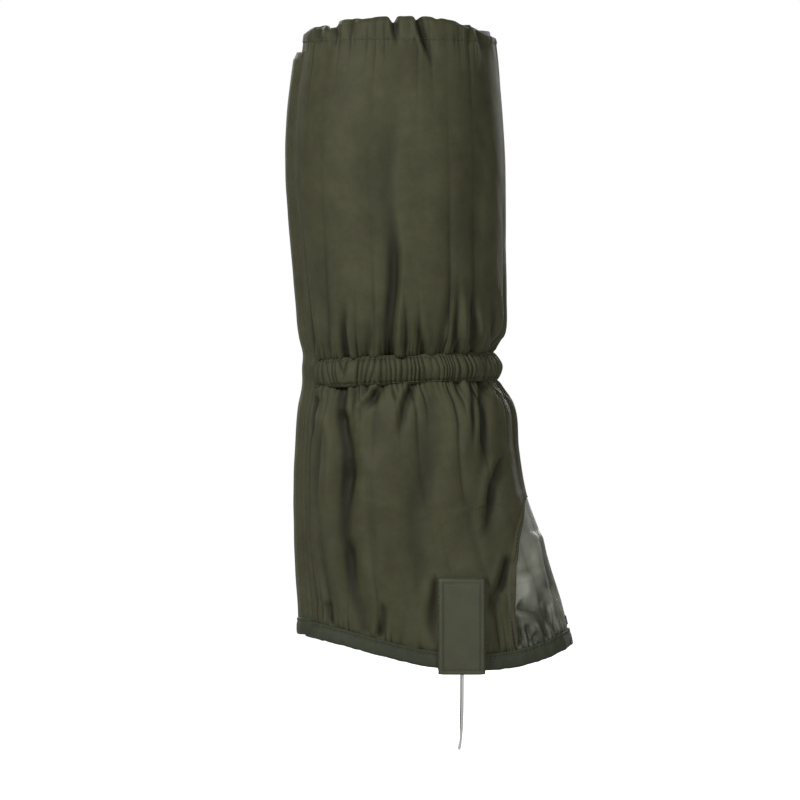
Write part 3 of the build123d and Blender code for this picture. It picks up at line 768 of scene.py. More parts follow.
def thicken(piece, thickness=CLOTH_THICK):
    """Gives a sheet its thickness, towards the leg."""
    solid = piece.modifiers.new("thickness", "SOLIDIFY")
    solid.thickness = thickness
    solid.offset = -1.0


def cloth_area(points):
    """The area of a grid of points, in square metres."""
    one, other = points[1:, 1:] - points[:-1, :-1], points[1:, :-1] - points[:-1, 1:]
    return float(np.linalg.norm(np.cross(one, other), axis=2).sum() / 2)


def declare_sheet(piece, area, height, held, *rests_on):
    """Says the size that a sheet was cut to: its height, and its area over that height."""
    print(piece.name, "cut", round(area / height, 4), "by", round(height, 4), "m")


def dress(piece, body, slot, *replaced):
    """Says what the piece moves with and which part it stands for; slot is not used."""
    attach(piece, body)
    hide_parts(*replaced)


# %% [markdown]
# ## The calf panels
#
# Two panels make the calf, one on each side, joined by a seam down the shin and sewn to the zip
# behind. They are cut wider than the waist and gathered onto its elastic. The seam down the
# shin is a groove where both edges turn inwards.

# %% The calf panels
CALF_COLUMNS, CALF_ROWS = 330, 132
CALF_LOW, CALF_HIGH = WAIST_HALF - 2.0 * MM, HEM_SEW_Z + 1.5 * MM
CALF_CUT = 221.0 * MM  # how high the panel was cut


def shin_groove(turn, z):
    """The seam down the shin, a shallow groove."""
    side = np.abs(turn) * leg_ellipse(z)[2]
    return -0.7 * MM * np.exp(-((side / (1.2 * MM)) ** 2)) + 0.25 * MM * bell(side, 3.5 * MM, 2 * MM)


def from_shin_to_zip(side, turn):
    """Puts a panel's turns on its side of the leg, so that its outer face looks outwards."""
    return turn if side > 0 else -turn[:, ::-1]


SIDES = ((-1, "outer"), (1, "inner"))
for side, name in SIDES:
    z = np.linspace(CALF_LOW, CALF_HIGH, CALF_ROWS)[:, None] * np.ones((1, CALF_COLUMNS))
    turn = from_shin_to_zip(side, np.linspace(0, 1, CALF_COLUMNS)[None, :] * zip_turn(z))
    out = cloth_out(turn, z) + shin_groove(turn, z)
    points = waist_tilt(leg_point(turn, z, out))
    panel = grid_object(f"{name}_calf_panel", points, OLIVE, out)
    thicken(panel)
    dress(panel, "sleeve", "sleeve_fabric", f"{name}_upper_panel")
    declare_sheet(panel, cloth_area(points), CALF_CUT, "gathered", "waist_elastic", "top_elastic")

# %% [markdown]
# ## The ankle panels and the instep panel
#
# Below the waist the sleeve widens over the boot. A panel of coated cloth is let in over the
# instep. Its seam is a curve seen from the side, so the last column of each ankle panel and the
# edge of the instep panel are worked out from the same turns, and no gap can open between them.
# The ankle panel's edge is folded over the instep panel and stitched twice.

# %% Where the instep seam runs
ANKLE_TOP = -WAIST_HALF + 2.0 * MM
INSTEP_SEAM = np.array([
    # height and X
    (-240, 81.5), (-205, 80.8), (-150, 79.2), (-118, 82.0), (-100, 85.0), (-88, 87.0),
]) * MM
INSTEP_APEX = INSTEP_SEAM[-1, 0]


def ankle_height(turn, share):
    """Heights from the waist (share 0) to just under the hem binding's top (share 1)."""
    end = hem_height(turn) + HEM_TAPE - 2.0 * MM
    return ANKLE_TOP + (end - ANKLE_TOP) * share


def seam_turn(share):
    """The turn of the instep seam at each share of the height, 0 above its apex."""
    turn = np.full_like(share, 0.6)  # a first guess, which the loop mends
    for _ in range(40):
        z = ankle_height(turn, share)
        middle, length, _half = leg_ellipse(z)
        cosine = (smooth_between(z, INSTEP_SEAM[:, 0], INSTEP_SEAM[:, 1]) - middle) / length
        turn = (turn + np.where(z > INSTEP_APEX, 0, np.arccos(np.clip(cosine, -1, 1)))) / 2
    return turn


ANKLE_COLUMNS, ANKLE_ROWS = 320, 132
ANKLE_LOW_AT_ZIP = -173.0 * MM
ANKLE_CUT = 185.0 * MM  # how high the panel was cut
SEAM_FOLD = 0.55 * MM  # its edge is folded under, and stands out by a layer of cloth
share = np.linspace(1, 0, ANKLE_ROWS)[:, None]
seam = seam_turn(share)
print("the instep seam ends at turn", round(float(seam[0, 0]), 3), "of", round(math.pi, 3))


# %% The ankle panels
for side, name in SIDES:
    across = np.linspace(0, 1, ANKLE_COLUMNS)[None, :]
    back = zip_turn(ANKLE_TOP + (ANKLE_LOW_AT_ZIP - ANKLE_TOP) * share)
    turn = from_shin_to_zip(side, seam + (back - seam) * across)
    z = ankle_height(turn, share)
    out = cloth_out(turn, z, hem_height(turn) + HEM_TAPE)
    from_seam = (np.abs(turn) - seam) * leg_ellipse(z)[1]
    out = out + SEAM_FOLD * (1 - ease(from_seam, 5 * MM, 7 * MM)) * (seam > 0.02)
    out = out + np.where(seam > 0.02, 0, shin_groove(turn, z))
    points = waist_tilt(leg_point(turn, z, out))
    panel = grid_object(f"{name}_ankle_panel", points, OLIVE, out)
    thicken(panel)
    dress(panel, "sleeve", "sleeve_fabric", f"{name}_lower_panel")
    declare_sheet(panel, cloth_area(points), ANKLE_CUT, "gathered", "waist_elastic", "hem_binding")

# %% Painted shade and glint on the instep panel
INSTEP_COLUMNS = 240
INSTEP_FOLDS = [
    # start X and Z, end X and Z, width and depth, in mm
    (80.0, -163, 97.0, -171, 3.2, 2.4),
    (84.0, -142, 93.0, -166, 7.0, -2.2),
    (104.0, -150, 112.0, -178, 2.4, 1.8),
    (99.0, -160, 109.0, -184, 2.4, 1.8),
    (101.0, -170, 110.0, -190, 2.2, 1.6),
    (97.0, -174, 103.0, -194, 2.2, 1.8),
    (88.0, -176, 90.0, -198, 2.2, 1.8),
    (82.5, -178, 82.0, -198, 2.0, 1.6),
    (93.0, -182, 95.0, -196, 1.8, 1.2),
    (91.0, -112, 99.0, -146, 4.5, -1.6),
]


def instep_painted_shade(turn, x, z):
    """Painted shade round a painted glint: low down, behind the front edge, on it and in a dip above."""
    forward, down = x / MM, -z / MM
    low = 0.95 * ease(down, 163, 171) * (1 - 0.7 * ease(forward, 99, 103) * (1 - ease(down, 176, 184)))
    behind_edge = 0.8 * bell(forward, 97.5, 3) * ease(down, 138, 154)
    front_line = 92.5 + 0.156 * (down - 118)
    front_edge = 0.55 * ease(forward - front_line, 0, 3) * ease(down, 108, 122) * (1 - ease(down, 150, 157))
    dip = 0.7 * bell(forward, 83, 7) * bell(down, 140.5, 3)
    return (low + behind_edge + front_edge + dip) * (0.8 + 0.2 * wander(z / (6 * MM) + 9 * turn, 64))


# %% The instep panel
below_apex = seam[:, 0] > 0.03
instep_share = share[below_apex]
turn = seam[below_apex] * np.linspace(-1, 1, INSTEP_COLUMNS)[None, :]
z = ankle_height(turn, instep_share)
out = cloth_out(turn, z, hem_height(turn) + HEM_TAPE) - 0.25 * MM
crumple = wander(5 * turn + z / (20 * MM), 61) * wander(z / (16 * MM) - 5 * turn, 62)
crumple = 0.5 * MM * crumple * ease(-z, 125 * MM, 170 * MM)
creased = set_folds(INSTEP_FOLDS, leg_x(turn, z), z) * ease(np.abs(turn), 0.0, 0.15) + crumple
out = out + creased * ease(z - hem_height(turn) - HEM_TAPE, 0.3 * MM, 5.0 * MM)
points = leg_point(turn, z, out)
# the instep's dull parts get painted shade, and what it leaves light is a painted glint
instep = grid_object("instep_panel", points, COATED, out, extra_shade=instep_painted_shade(turn, leg_x(turn, z), z))
thicken(instep)
dress(instep, "sleeve", "gusset_fabric", "front_gusset")

# %% [markdown]
# ## The waist band and the top hem
#
# An elastic lies in a casing: an outer layer gathered in narrow pleats that bulges between two
# rows of stitches, and a lining on the leg's side. A flat ring with bumps would show no layers,
# so each casing is one closed loop of cloth round its elastic, swept round the leg. The band's
# pleats lean this way and that, because the cloth was fed unevenly as it was sewn.

# %% The loop round an elastic
OUTSIDE_ROWS, INSIDE_ROWS = 34, 10
BAND_COLUMNS = 900
LINING_OUT = -3.9 * MM  # the lining lies inside the leg's outline
level = np.concatenate([np.linspace(-1, 1, OUTSIDE_ROWS), np.linspace(1, -1, INSIDE_ROWS)])[:, None]
is_outside = np.arange(OUTSIDE_ROWS + INSIDE_ROWS)[:, None] < OUTSIDE_ROWS
SEWN_LEVEL = 0.82  # where the rows of stitches run, as a share of the band's half height


def band_relief(turn, level):
    """The band's outer layer: a bulge, leaning pleats, and puckers at both rows of stitches."""
    bulge = 1.7 * MM * (1 - np.abs(level / SEWN_LEVEL).clip(0, 1) ** 2.0)
    lean = 0.5 * bell(turn, -2.42, 0.2) - 0.45 * bell(turn, -1.98, 0.14) + 0.25 * wander(7 * turn, 11)
    phase = NARROW_IN_WIDE * fold_phase(turn, level * 0, 7) + 1.5 * lean * level
    deep = 2.9 * MM * (pleats(phase, 9, 0.7) - 0.55) * (1 - 0.25 * np.abs(level))
    shallow = 0.7 * MM * pleats(0.47 * phase, 10)
    sewn = bell(np.abs(level), SEWN_LEVEL, 0.1)
    frill = ease(np.abs(level), SEWN_LEVEL, 1.0)
    puckers = 1.9 * MM * (pleats(2.3 * phase + 1.5 * level, 12) - 0.5)
    puckers = puckers * bell(np.abs(level), SEWN_LEVEL, 0.2)
    folds = (deep + shallow + puckers) * gathered(turn)
    relief = bulge + folds * (1 - 0.6 * frill) - 0.8 * MM * sewn - 2.3 * MM * frill
    return relief * (0.3 + 0.7 * gathered(turn))


# %% The waist band
turn = round_leg(BAND_COLUMNS, 0.0)
relief = band_relief(turn, level)
out = np.where(is_outside, relief, LINING_OUT + 0.25 * relief)
z = level * WAIST_HALF * np.where(is_outside, 1.0, 0.94) * np.ones_like(turn)
points = waist_tilt(leg_point(turn, z, out))
band = grid_object("waist_band", points, OLIVE, np.where(is_outside, out, 0 * out), tube=True)
dress(band, "sleeve", "sleeve_fabric", "waist_casing")
band_height = np.linalg.norm(np.diff(points[:OUTSIDE_ROWS], axis=0), axis=2).sum(axis=0).mean()
print("waist band:", len(band.data.polygons), "faces, outer layer", round(band_height / MM, 1), "mm high")

# %% The top edge rises and falls
TOP_EDGE = np.array([
    # X and height of the top edge where nothing notches it
    (-76, 236.0), (-64, 238.0), (-45, 242.5), (-10, 245.0),
    (20, 245.0), (40, 242.0), (55, 238.0), (66, 231.5),
]) * MM
NOTCHES = {
    # X, width and depth, in mm
    "outer": [
        (-70, 3.2, 2.5), (-50.5, 3.0, 5.0), (-6.3, 2.2, 4.5), (11.0, 2.4, 2.6),
        (25, 2.4, 1.0), (43, 3.4, 1.8), (58, 3.0, 1.4), (-27, 6.0, 0.8),
    ],
    "inner": [
        (-62, 3.2, 2.5), (-36, 2.6, 4.0), (-26, 2.2, 2.5), (2, 5.0, 1.0), (22, 2.6, 4.0), (50, 3.2, 2.5),
    ],
}


def top_edge(turn):
    """The top edge's height at each turn."""
    x = leg_x(turn, np.full_like(turn, 240.0 * MM))
    z = smooth_between(x, TOP_EDGE[:, 0], TOP_EDGE[:, 1])
    for name, notches in NOTCHES.items():
        side = (turn < 0) if name == "outer" else (turn >= 0)
        for middle, width, depth in np.array(notches) * MM:
            z = z - np.where(side, depth * bell(x, middle, width), 0)
    ripple = 0.5 * MM * (pleats(20 * (turn + 4) / math.pi + 0.4 * wander(5 * turn, 23), 24) - 0.5)
    return z + ripple * gathered(turn)


# %% The top hem
EDGE_COLUMNS = 620
turn = round_leg(EDGE_COLUMNS, 235.0 * MM)
low, high = HEM_SEW_Z - 1.5 * MM, top_edge(turn)
up = (level + 1) / 2
z = low + (high - low) * np.where(is_outside, up, 0.02 + 0.95 * up)
relief = cloth_out(turn, z) + shin_groove(turn, z) - 0.3 * MM + 0.42 * MM * ease(up, 0, 0.14)
relief = relief + 0.4 * MM * np.sin(math.pi * up) ** 0.9
rounded = 1.7 * MM * ease(up, 0.8, 1.0)
out = np.where(is_outside, relief - rounded, LINING_OUT + 0.6 * (relief - 0.9 * MM) - 0.4 * rounded)
points = waist_tilt(leg_point(turn, z, out))
top_hem = grid_object("top_hem", points, OLIVE, np.where(is_outside, out, 0 * out), tube=True)
dress(top_hem, "sleeve", "sleeve_fabric", "top_casing")
print("top edge from", round(high.min() / MM, 1), "to", round(high.max() / MM, 1), "mm")

# %% [markdown]
# ## The elastics
#
# The elastic inside each casing follows the same turns as its casing, so it can't poke through
# the cloth where a pleat runs deep. It is a flat loop, hidden except at its two ends by the zip.

# %% The elastics in their casings
ELASTIC_COLUMNS = 300
ELASTIC_FACES = ((-1.0, 0.0), (1.0, 0.0), (1.0, 1.0), (-1.0, 1.0))  # up, and through its thickness
ELASTIC_DEPTH = 0.9 * MM


def elastic_loop(name, middle, half_width, out_of, node):
    """A flat elastic at a height on the leg, whose distance out follows its casing."""
    turn = round_leg(ELASTIC_COLUMNS, 0.0, ZIP_EDGE + 1.5 * MM)
    edge = np.array(ELASTIC_FACES)
    z = middle + half_width * edge[:, :1] + 0 * turn
    out = out_of(turn, z) + edge[:, 1:] * ELASTIC_DEPTH
    piece = grid_object(name, waist_tilt(leg_point(turn, z, out)), ELASTIC, tube=True)
    dress(piece, "sleeve", "elastic", node)
    print(name, "drawn in its casing")


def waist_elastic_out(turn, z):
    """Just outside the band's lining."""
    return LINING_OUT + 0.25 * band_relief(turn, z / WAIST_HALF) + 0.3 * MM


def top_elastic_out(turn, z):
    """Just outside the top hem's lining."""
    return LINING_OUT + 0.6 * cloth_out(turn, z) + 0.3 * MM


elastic_loop("waist_elastic_loop", 0.0, 7.2 * MM, waist_elastic_out, "waist_elastic")
elastic_loop("top_elastic_loop", 233.5 * MM, 3.2 * MM, top_elastic_out, "top_elastic")

# %% [markdown]
# ## The hem binding
#
# A tape folded over the raw bottom edge and stitched once near its top. It could be a bevelled
# curve, but a tape isn't round: here its section is drawn once, with the fold at the bottom and
# the stitch's dent near the top, and swept round the leg along the bottom edge.

# %% The hem binding
HEM_STITCH = 9.0 * MM  # above the bottom edge
HEM_AT_ZIP = -183.0 * MM
TAPE_SECTION = np.array([
    # out from the cloth and up from the bottom edge, from the inner top round to the outer top
    (-1.9, 11.0), (-1.95, 8.0), (-1.9, 5.0), (-1.85, 2.0), (-1.6, 0.7), (-1.0, 0.1), (-0.4, -0.1),
    (0.3, 0.15), (0.9, 0.8), (1.15, 2.0), (1.25, 4.0), (1.2, 6.5), (1.0, 8.0), (0.62, 8.8),
    (0.6, 9.2), (0.85, 9.9), (0.95, 10.8), (0.8, 11.4), (0.2, 11.6), (-0.8, 11.6), (-1.5, 11.5),
]) * MM


def hem_wave(turn):
    """The binding isn't drawn quite flat round the hem."""
    return 0.45 * MM * wander(11 * turn, 31) * gathered(turn)


turn = round_leg(EDGE_COLUMNS, HEM_AT_ZIP)
low = hem_height(turn)
z = low + TAPE_SECTION[:, 1:]
puckers = 0.5 * MM * (pleats(70 * (turn + 4) / math.pi + 0.8 * wander(4 * turn, 33), 34) - 0.5)
relief = hem_wave(turn) + puckers * bell(TAPE_SECTION[:, 1:], HEM_STITCH, 2 * MM) * gathered(turn)
low_wave = 0.35 * MM * wander(17 * turn, 35) * gathered(turn)
out = TAPE_SECTION[:, :1] + relief + tab_swell(leg_x(turn, z), leg_ellipse(z)[2] * np.sin(turn), z)
points = leg_point(turn, z + low_wave, out)
binding = grid_object("bound_hem", points, BINDING, out, tube=True)
dress(binding, "sleeve", "binding_fabric", "hem_binding")
print("hem binding:", len(binding.data.polygons), "faces")

# %% [markdown]
# ## The storm flap
#
# A strip of the same cloth is sewn along one side of the zip and closes over it with a hook
# strip and two press studs. It lies close to the leg, so it is another sheet on the leg's
# outline, standing out over the zip and coming down to the sleeve at its sewn edge. The hem's
# binding goes on across its bottom edge.

# %% The storm flap
FLAP_HALF = 20.0 * MM
FLAP_LOW, FLAP_HIGH = -184.6 * MM, 222.0 * MM
FLAP_FACE = 3.9 * MM  # out from the leg's outline, over the zip
FLAP_SEWN = 0.9 * MM  # and at its sewn edge
FLAP_TUCKED = 22.5 * MM  # its raw edge is turned in under the stitches, into the sleeve
FLAP_HEM = 6.0 * MM  # the folded edges are two layers thick
FLAP_STITCH = FLAP_HEM - 1.4 * MM  # in from the edge
FLAP_COLUMNS, FLAP_ROWS = 66, 300


def flap_points(y, z):
    """The flap's outer face at each Y and height, and its relief."""
    turn = math.pi - np.arcsin(y / leg_ellipse(z)[2])
    out = FLAP_SEWN + (FLAP_FACE - FLAP_SEWN) * ease(y, -FLAP_HALF, -FLAP_HALF + 9 * MM)
    out = out - 2.4 * MM * (1 - ease(y, -FLAP_TUCKED, -FLAP_HALF + 1.5 * MM))
    to_edge = np.minimum(np.minimum(FLAP_HALF - y, z - FLAP_LOW), FLAP_HIGH - z)
    out = out + 0.25 * MM * (1 - ease(to_edge, FLAP_HEM, FLAP_HEM + 0.8 * MM))
    out = out - 0.25 * MM * bell(to_edge, FLAP_STITCH, 0.8 * MM)
    out = out - 2.0 * MM * ease(z, FLAP_HIGH - 6.5 * MM, FLAP_HIGH) * ease(y, -FLAP_HALF, -12 * MM)
    free = ease(y, -12 * MM, 4 * MM)
    ripple = 0.3 * MM * wander(z / (20 * MM), 71) * free + 0.25 * MM * wander(z / (50 * MM) + 2, 72)
    near_waist = 0.35 * MM * np.sin(z / (2.6 * MM)) * bell(z, 0, 20 * MM) * (1 - free)
    out = out + ripple * ease(y, -FLAP_HALF, -15 * MM) + near_waist
    return leg_point(turn, z, out, valley=False), out


y = np.linspace(FLAP_HALF, -FLAP_TUCKED, FLAP_COLUMNS)[None, :]
z = np.linspace(FLAP_LOW, FLAP_HIGH, FLAP_ROWS)[:, None]
points, out = flap_points(y * np.ones_like(z), z * np.ones_like(y))
flap = grid_object("zip_flap", points, OLIVE, out)
thicken(flap, 1.0 * MM)
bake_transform(flap)
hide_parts("storm_flap", "flap_seam_tape")
declare_sheet(flap, cloth_area(points), FLAP_HIGH - FLAP_LOW, "hung", "waist_band")

# %% The flap's bottom tape
TAPE_THINNED = 0.85  # it lies tighter over the flap's edge than over the hem's
y = np.linspace(-FLAP_TUCKED + 0.6 * MM, FLAP_HALF + 0.3 * MM, 60)[None, :]
z = FLAP_LOW + TAPE_SECTION[:, 1:] + 0 * y
flap_level = flap_points(y + 0 * z, FLAP_LOW + 4 * MM + 0 * z)[1]
turn = math.pi - np.arcsin(y / leg_ellipse(z)[2])
out = flap_level + TAPE_THINNED * TAPE_SECTION[:, :1] - 0.05 * MM
points = leg_point(turn, z, out, valley=False)
flap_tape = grid_object("flap_bottom_tape", points, BINDING, out, tube=True)
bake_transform(flap_tape)
print("the flap's bottom tape:", len(flap_tape.data.polygons), "faces")

# %% [markdown]
# ## The tabs over the cable's ends
#
# A stitched patch of coated cloth on each side covers the rivet that holds the cable. A box
# would look like a plate, so the patch is a sheet that lies on the rivet's head and comes down
# to the sleeve along its sides and top, with a turned and stitched border. It stays open at the
# bottom, where the cable leaves.

# %% The tabs
TAB_FACE = 61.0 * MM  # the Y of its face, over the rivet's head
TAB_BORDER = 3.0 * MM
TAB_CUT = 73.0 * MM  # how high the patch was cut
TAB_ROWS, TAB_COLUMNS = 76, 60
TAB_EDGE = np.array([
    # the share of the way across and the share of the height above the sleeve, round one side
    (0.0, 1.0), (0.8, 1.0), (0.925, 0.985), (0.975, 0.93), (1.0, 0.78), (1.012, 0.4), (1.02, 0.0),
])


def tab_rise(share):
    """Where a point lies across the tab and how high, for a share of the way over its face."""
    path = np.concatenate([[0], np.cumsum(np.hypot(*(np.diff(TAB_EDGE, axis=0) * [1, 0.45]).T))])
    place = np.abs(share) * path[-1]
    return np.sign(share) * np.interp(place, path, TAB_EDGE[:, 0]), np.interp(place, path, TAB_EDGE[:, 1])


def tab_points(side, across, up):
    """The tab's outer face; across runs from -1 to 1 and up from 0 at the bottom to 1."""
    x_share, x_high = tab_rise(across)
    z_share, z_high = tab_rise(up)
    x = TAB_X + TAB_HALF * x_share
    z = TAB_BOTTOM + (TAB_TOP - TAB_BOTTOM) * z_share
    middle, length, half = leg_ellipse(z)
    sleeve = half * np.sqrt(1 - ((x - middle) / length) ** 2) + 1.8 * MM
    inside = np.minimum(TAB_TOP - z, z - TAB_BOTTOM + 1.2 * MM)
    inside = np.minimum(TAB_HALF - np.abs(x - TAB_X), inside)
    sewn = 0.35 * MM * (1 - ease(inside, 2.2 * MM, 3.4 * MM)) - 0.6 * MM * bell(inside, TAB_BORDER, 0.7 * MM)
    ripple = wander(2.2 * across + 3 * up, 81) * wander(4 * up, 82)
    crown = 0.25 * MM * ripple - 0.5 * MM * x_share**2
    y = sleeve + (TAB_FACE - sleeve) * x_high * z_high + (sewn + crown) * np.minimum(x_high, z_high)
    return np.stack([x + 0 * z, side * y, z + 0 * x], axis=-1), sewn


across = np.linspace(-1, 1, TAB_COLUMNS)[None, :] * np.ones((TAB_ROWS, 1))
up = np.linspace(0, 1, TAB_ROWS)[:, None] * np.ones((1, TAB_COLUMNS))
for side, name in SIDES:
    points, sewn = tab_points(side, across if side < 0 else -across, up)
    tab = grid_object(f"{name}_tab", points, TAB_CLOTH, sewn)
    thicken(tab, 0.9 * MM)
    dress(tab, "sleeve", "pocket_fabric", f"{name}_pocket_cover", f"{name}_pocket_backing")
    declare_sheet(tab, cloth_area(points), TAB_CUT, "stretched", f"{name}_anchor_rivet")

# %% [markdown]
# ## Stitches
#
# Every seam shows its thread. Placing a thousand stitches by hand is hopeless, and a texture
# would look flat, so Geometry Nodes do it: the tree takes the line that a row follows, spaces
# points along it, puts one small bead of thread on each, turned along the line, and makes them
# real mesh. The lines come from the same functions as the cloth, so the rows lie on it.

# %% The thread
def thread_material():
    """Twisted sewing thread, near the cloth's own colour."""
    material, nodes, links, surface = new_material("sewing_thread", roughness=0.55, sheen_weight=0.1)
    place = nodes.new("ShaderNodeTexCoord")
    twist = node_of(nodes, "ShaderNodeTexWave", bands_direction="DIAGONAL", scale=900.0, distortion=0.5)
    links.new(place.outputs["Object"], twist.inputs["Vector"])
    strands = mix_colors(nodes, links, twist.outputs["Fac"], (0.02, 0.02, 0.011), (0.05, 0.05, 0.028))
    links.new(strands, surface.inputs["Base Color"])
    return material


THREAD = thread_material()
print("thread:", THREAD.name)


# %% The stitch tree
def make_stitch_tree():
    """A row of stitches along each line of the mesh that it's given."""
    tree = bpy.data.node_groups.new("stitch_rows", "GeometryNodeTree")
    tree.interface.new_socket("Lines", in_out="INPUT", socket_type="NodeSocketGeometry")
    for name, value in (("Pitch", 0.0031), ("Stitch length", 0.0023), ("Thread radius", 0.00027)):
        tree.interface.new_socket(name, in_out="INPUT", socket_type="NodeSocketFloat").default_value = value
    tree.interface.new_socket("Thread", in_out="INPUT", socket_type="NodeSocketMaterial")
    tree.interface.new_socket("Stitches", in_out="OUTPUT", socket_type="NodeSocketGeometry")
    nodes, links = tree.nodes, tree.links
    inside, outside = nodes.new("NodeGroupInput"), nodes.new("NodeGroupOutput")
    line = nodes.new("GeometryNodeMeshToCurve")
    links.new(inside.outputs["Lines"], line.inputs["Mesh"])
    spaced = node_of(nodes, "GeometryNodeResampleCurve", mode="LENGTH")
    links.new(line.outputs["Curve"], spaced.inputs["Curve"])
    links.new(inside.outputs["Pitch"], spaced.inputs["Length"])
    bead = nodes.new("GeometryNodeMeshUVSphere")
    bead.inputs["Segments"].default_value = 6
    bead.inputs["Rings"].default_value = 5
    bead.inputs["Radius"].default_value = 1.0
    along = nodes.new("GeometryNodeInputTangent")
    turned = node_of(nodes, "FunctionNodeAlignRotationToVector", axis="Z")
    links.new(along.outputs["Tangent"], turned.inputs["Vector"])
    half = node_of(nodes, "ShaderNodeMath", operation="MULTIPLY")
    half.inputs[1].default_value = 0.5
    links.new(inside.outputs["Stitch length"], half.inputs[0])
    uneven = node_of(nodes, "FunctionNodeRandomValue", data_type="FLOAT_VECTOR")
    uneven.inputs["Min"].default_value = (0.9, 0.9, 0.85)
    uneven.inputs["Max"].default_value = (1.1, 1.1, 1.08)
    uneven.inputs["Seed"].default_value = 5
    shape = nodes.new("ShaderNodeCombineXYZ")
    links.new(inside.outputs["Thread radius"], shape.inputs["X"])
    links.new(inside.outputs["Thread radius"], shape.inputs["Y"])
    links.new(half.outputs["Value"], shape.inputs["Z"])
    size = node_of(nodes, "ShaderNodeVectorMath", operation="MULTIPLY")
    links.new(shape.outputs["Vector"], size.inputs[0])
    links.new(uneven.outputs["Value"], size.inputs[1])
    placed = nodes.new("GeometryNodeInstanceOnPoints")
    links.new(spaced.outputs["Curve"], placed.inputs["Points"])
    links.new(bead.outputs["Mesh"], placed.inputs["Instance"])
    links.new(turned.outputs["Rotation"], placed.inputs["Rotation"])
    links.new(size.outputs["Vector"], placed.inputs["Scale"])
    real = nodes.new("GeometryNodeRealizeInstances")
    links.new(placed.outputs["Instances"], real.inputs["Geometry"])
    dressed = nodes.new("GeometryNodeSetMaterial")
    links.new(real.outputs["Geometry"], dressed.inputs["Geometry"])
    links.new(inside.outputs["Thread"], dressed.inputs["Material"])
    links.new(dressed.outputs["Geometry"], outside.inputs["Stitches"])
    return tree


STITCHES = make_stitch_tree()
print("stitch tree:", len(STITCHES.nodes), "nodes")


# %% A helper that sews
def sew(name, rows):
    """A plain mesh with a row of stitches along each row of points."""
    starts = np.cumsum([0] + [len(row) for row in rows])
    edges = [(i, i + 1) for start, row in zip(starts, rows) for i in range(start, start + len(row) - 1)]
    lines = bpy.data.meshes.new(f"{name}_lines")
    lines.from_pydata(np.concatenate(rows), edges, [])
    maker = bpy.data.objects.new(f"{name}_maker", lines)
    scene.collection.objects.link(maker)
    machine = maker.modifiers.new("stitches", "NODES")
    machine.node_group = STITCHES
    sockets = {s.name: s.identifier for s in STITCHES.interface.items_tree if s.in_out == "INPUT"}
    machine[sockets["Thread"]] = THREAD
    graph = bpy.context.evaluated_depsgraph_get()
    mesh = bpy.data.meshes.new_from_object(maker.evaluated_get(graph))
    bpy.data.objects.remove(maker)
    bpy.data.meshes.remove(lines)
    mesh.name = name
    piece = bpy.data.objects.new(name, mesh)
    scene.collection.objects.link(piece)
    print(name, len(rows), "rows,", len(mesh.polygons), "faces")
    return piece


# %% Rows round the leg, at the waist, the top hem and the hem binding
ABOVE_CLOTH = 0.12 * MM
IN_TAPE_DENT = 0.85 * MM  # how far out the thread lies on the hem binding
sleeve_rows = []
turn = round_leg(1400, 0.0)
for row_level in (-SEWN_LEVEL, SEWN_LEVEL):
    spot = np.full_like(turn, row_level)
    relief = band_relief(turn, spot) + ABOVE_CLOTH
    sleeve_rows.append(waist_tilt(leg_point(turn, spot * WAIST_HALF, relief))[0])
turn = round_leg(900, HEM_SEW_Z + 1.0 * MM)
z = np.full_like(turn, HEM_SEW_Z + 0.6 * MM)
relief = cloth_out(turn, z) + 0.25 * MM + ABOVE_CLOTH
sleeve_rows.append(waist_tilt(leg_point(turn, z, relief))[0])
turn = round_leg(900, HEM_AT_ZIP)
z = hem_height(turn) + HEM_STITCH
relief = IN_TAPE_DENT + hem_wave(turn) + tab_swell(leg_x(turn, z), leg_ellipse(z)[2] * np.sin(turn), z)
sleeve_rows.append(leg_point(turn, z, relief)[0])
print("rows round the leg:", len(sleeve_rows))

# %% Two rows along each side of the instep seam
seam_share = np.linspace(0.99, 0.01, 400)[:, None]
seam_line = seam_turn(seam_share)
kept = seam_line[:, 0] > 0.06
for side in (-1, 1):
    for from_seam in (1.8 * MM, 4.4 * MM):
        turn = seam_line[kept] + from_seam / leg_ellipse(ankle_height(seam_line[kept], seam_share[kept]))[1]
        z = ankle_height(turn, seam_share[kept])
        relief = cloth_out(side * turn, z, hem_height(turn) + HEM_TAPE) + SEAM_FOLD + ABOVE_CLOTH
        sleeve_rows.append(leg_point(side * turn, z, relief)[:, 0])
print("rows so far:", len(sleeve_rows))

# %% Rows round the tabs
TAB_SEWN = 0.77  # the share of the way from the tab's middle to its side
TAB_SEWN_LOW, TAB_SEWN_HIGH = 0.035, 0.925  # shares of the way up it
path_up = np.linspace(0.02, 0.955, 160)[:154]
path_over = np.linspace(-TAB_SEWN, TAB_SEWN, 90)
for side in (-1, 1):
    left, right = (tab_points(side, np.full_like(path_up, at), path_up)[0] for at in (-TAB_SEWN, TAB_SEWN))
    high, low = (
        tab_points(side, path_over, np.full_like(path_over, at))[0] for at in (TAB_SEWN_HIGH, TAB_SEWN_LOW)
    )
    for row in (left, high, right, low):
        sleeve_rows.append(row + np.array([0, side * ABOVE_CLOTH, 0]))
print("rows so far:", len(sleeve_rows))

# %% Rows along the zip, and sew the sleeve
ZIP_SEWN = 6.2 * MM  # to each side of the zip's middle
z = np.linspace(-172.0 * MM, 222.0 * MM, 700)
for edge in (-ZIP_SEWN, ZIP_SEWN):
    sleeve_rows.append(np.stack([np.full_like(z, ZIP_X - ABOVE_CLOTH), np.full_like(z, edge), z], axis=-1))
sleeve_sewing = sew("sleeve_sewing", sleeve_rows)
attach(sleeve_sewing, "sleeve")

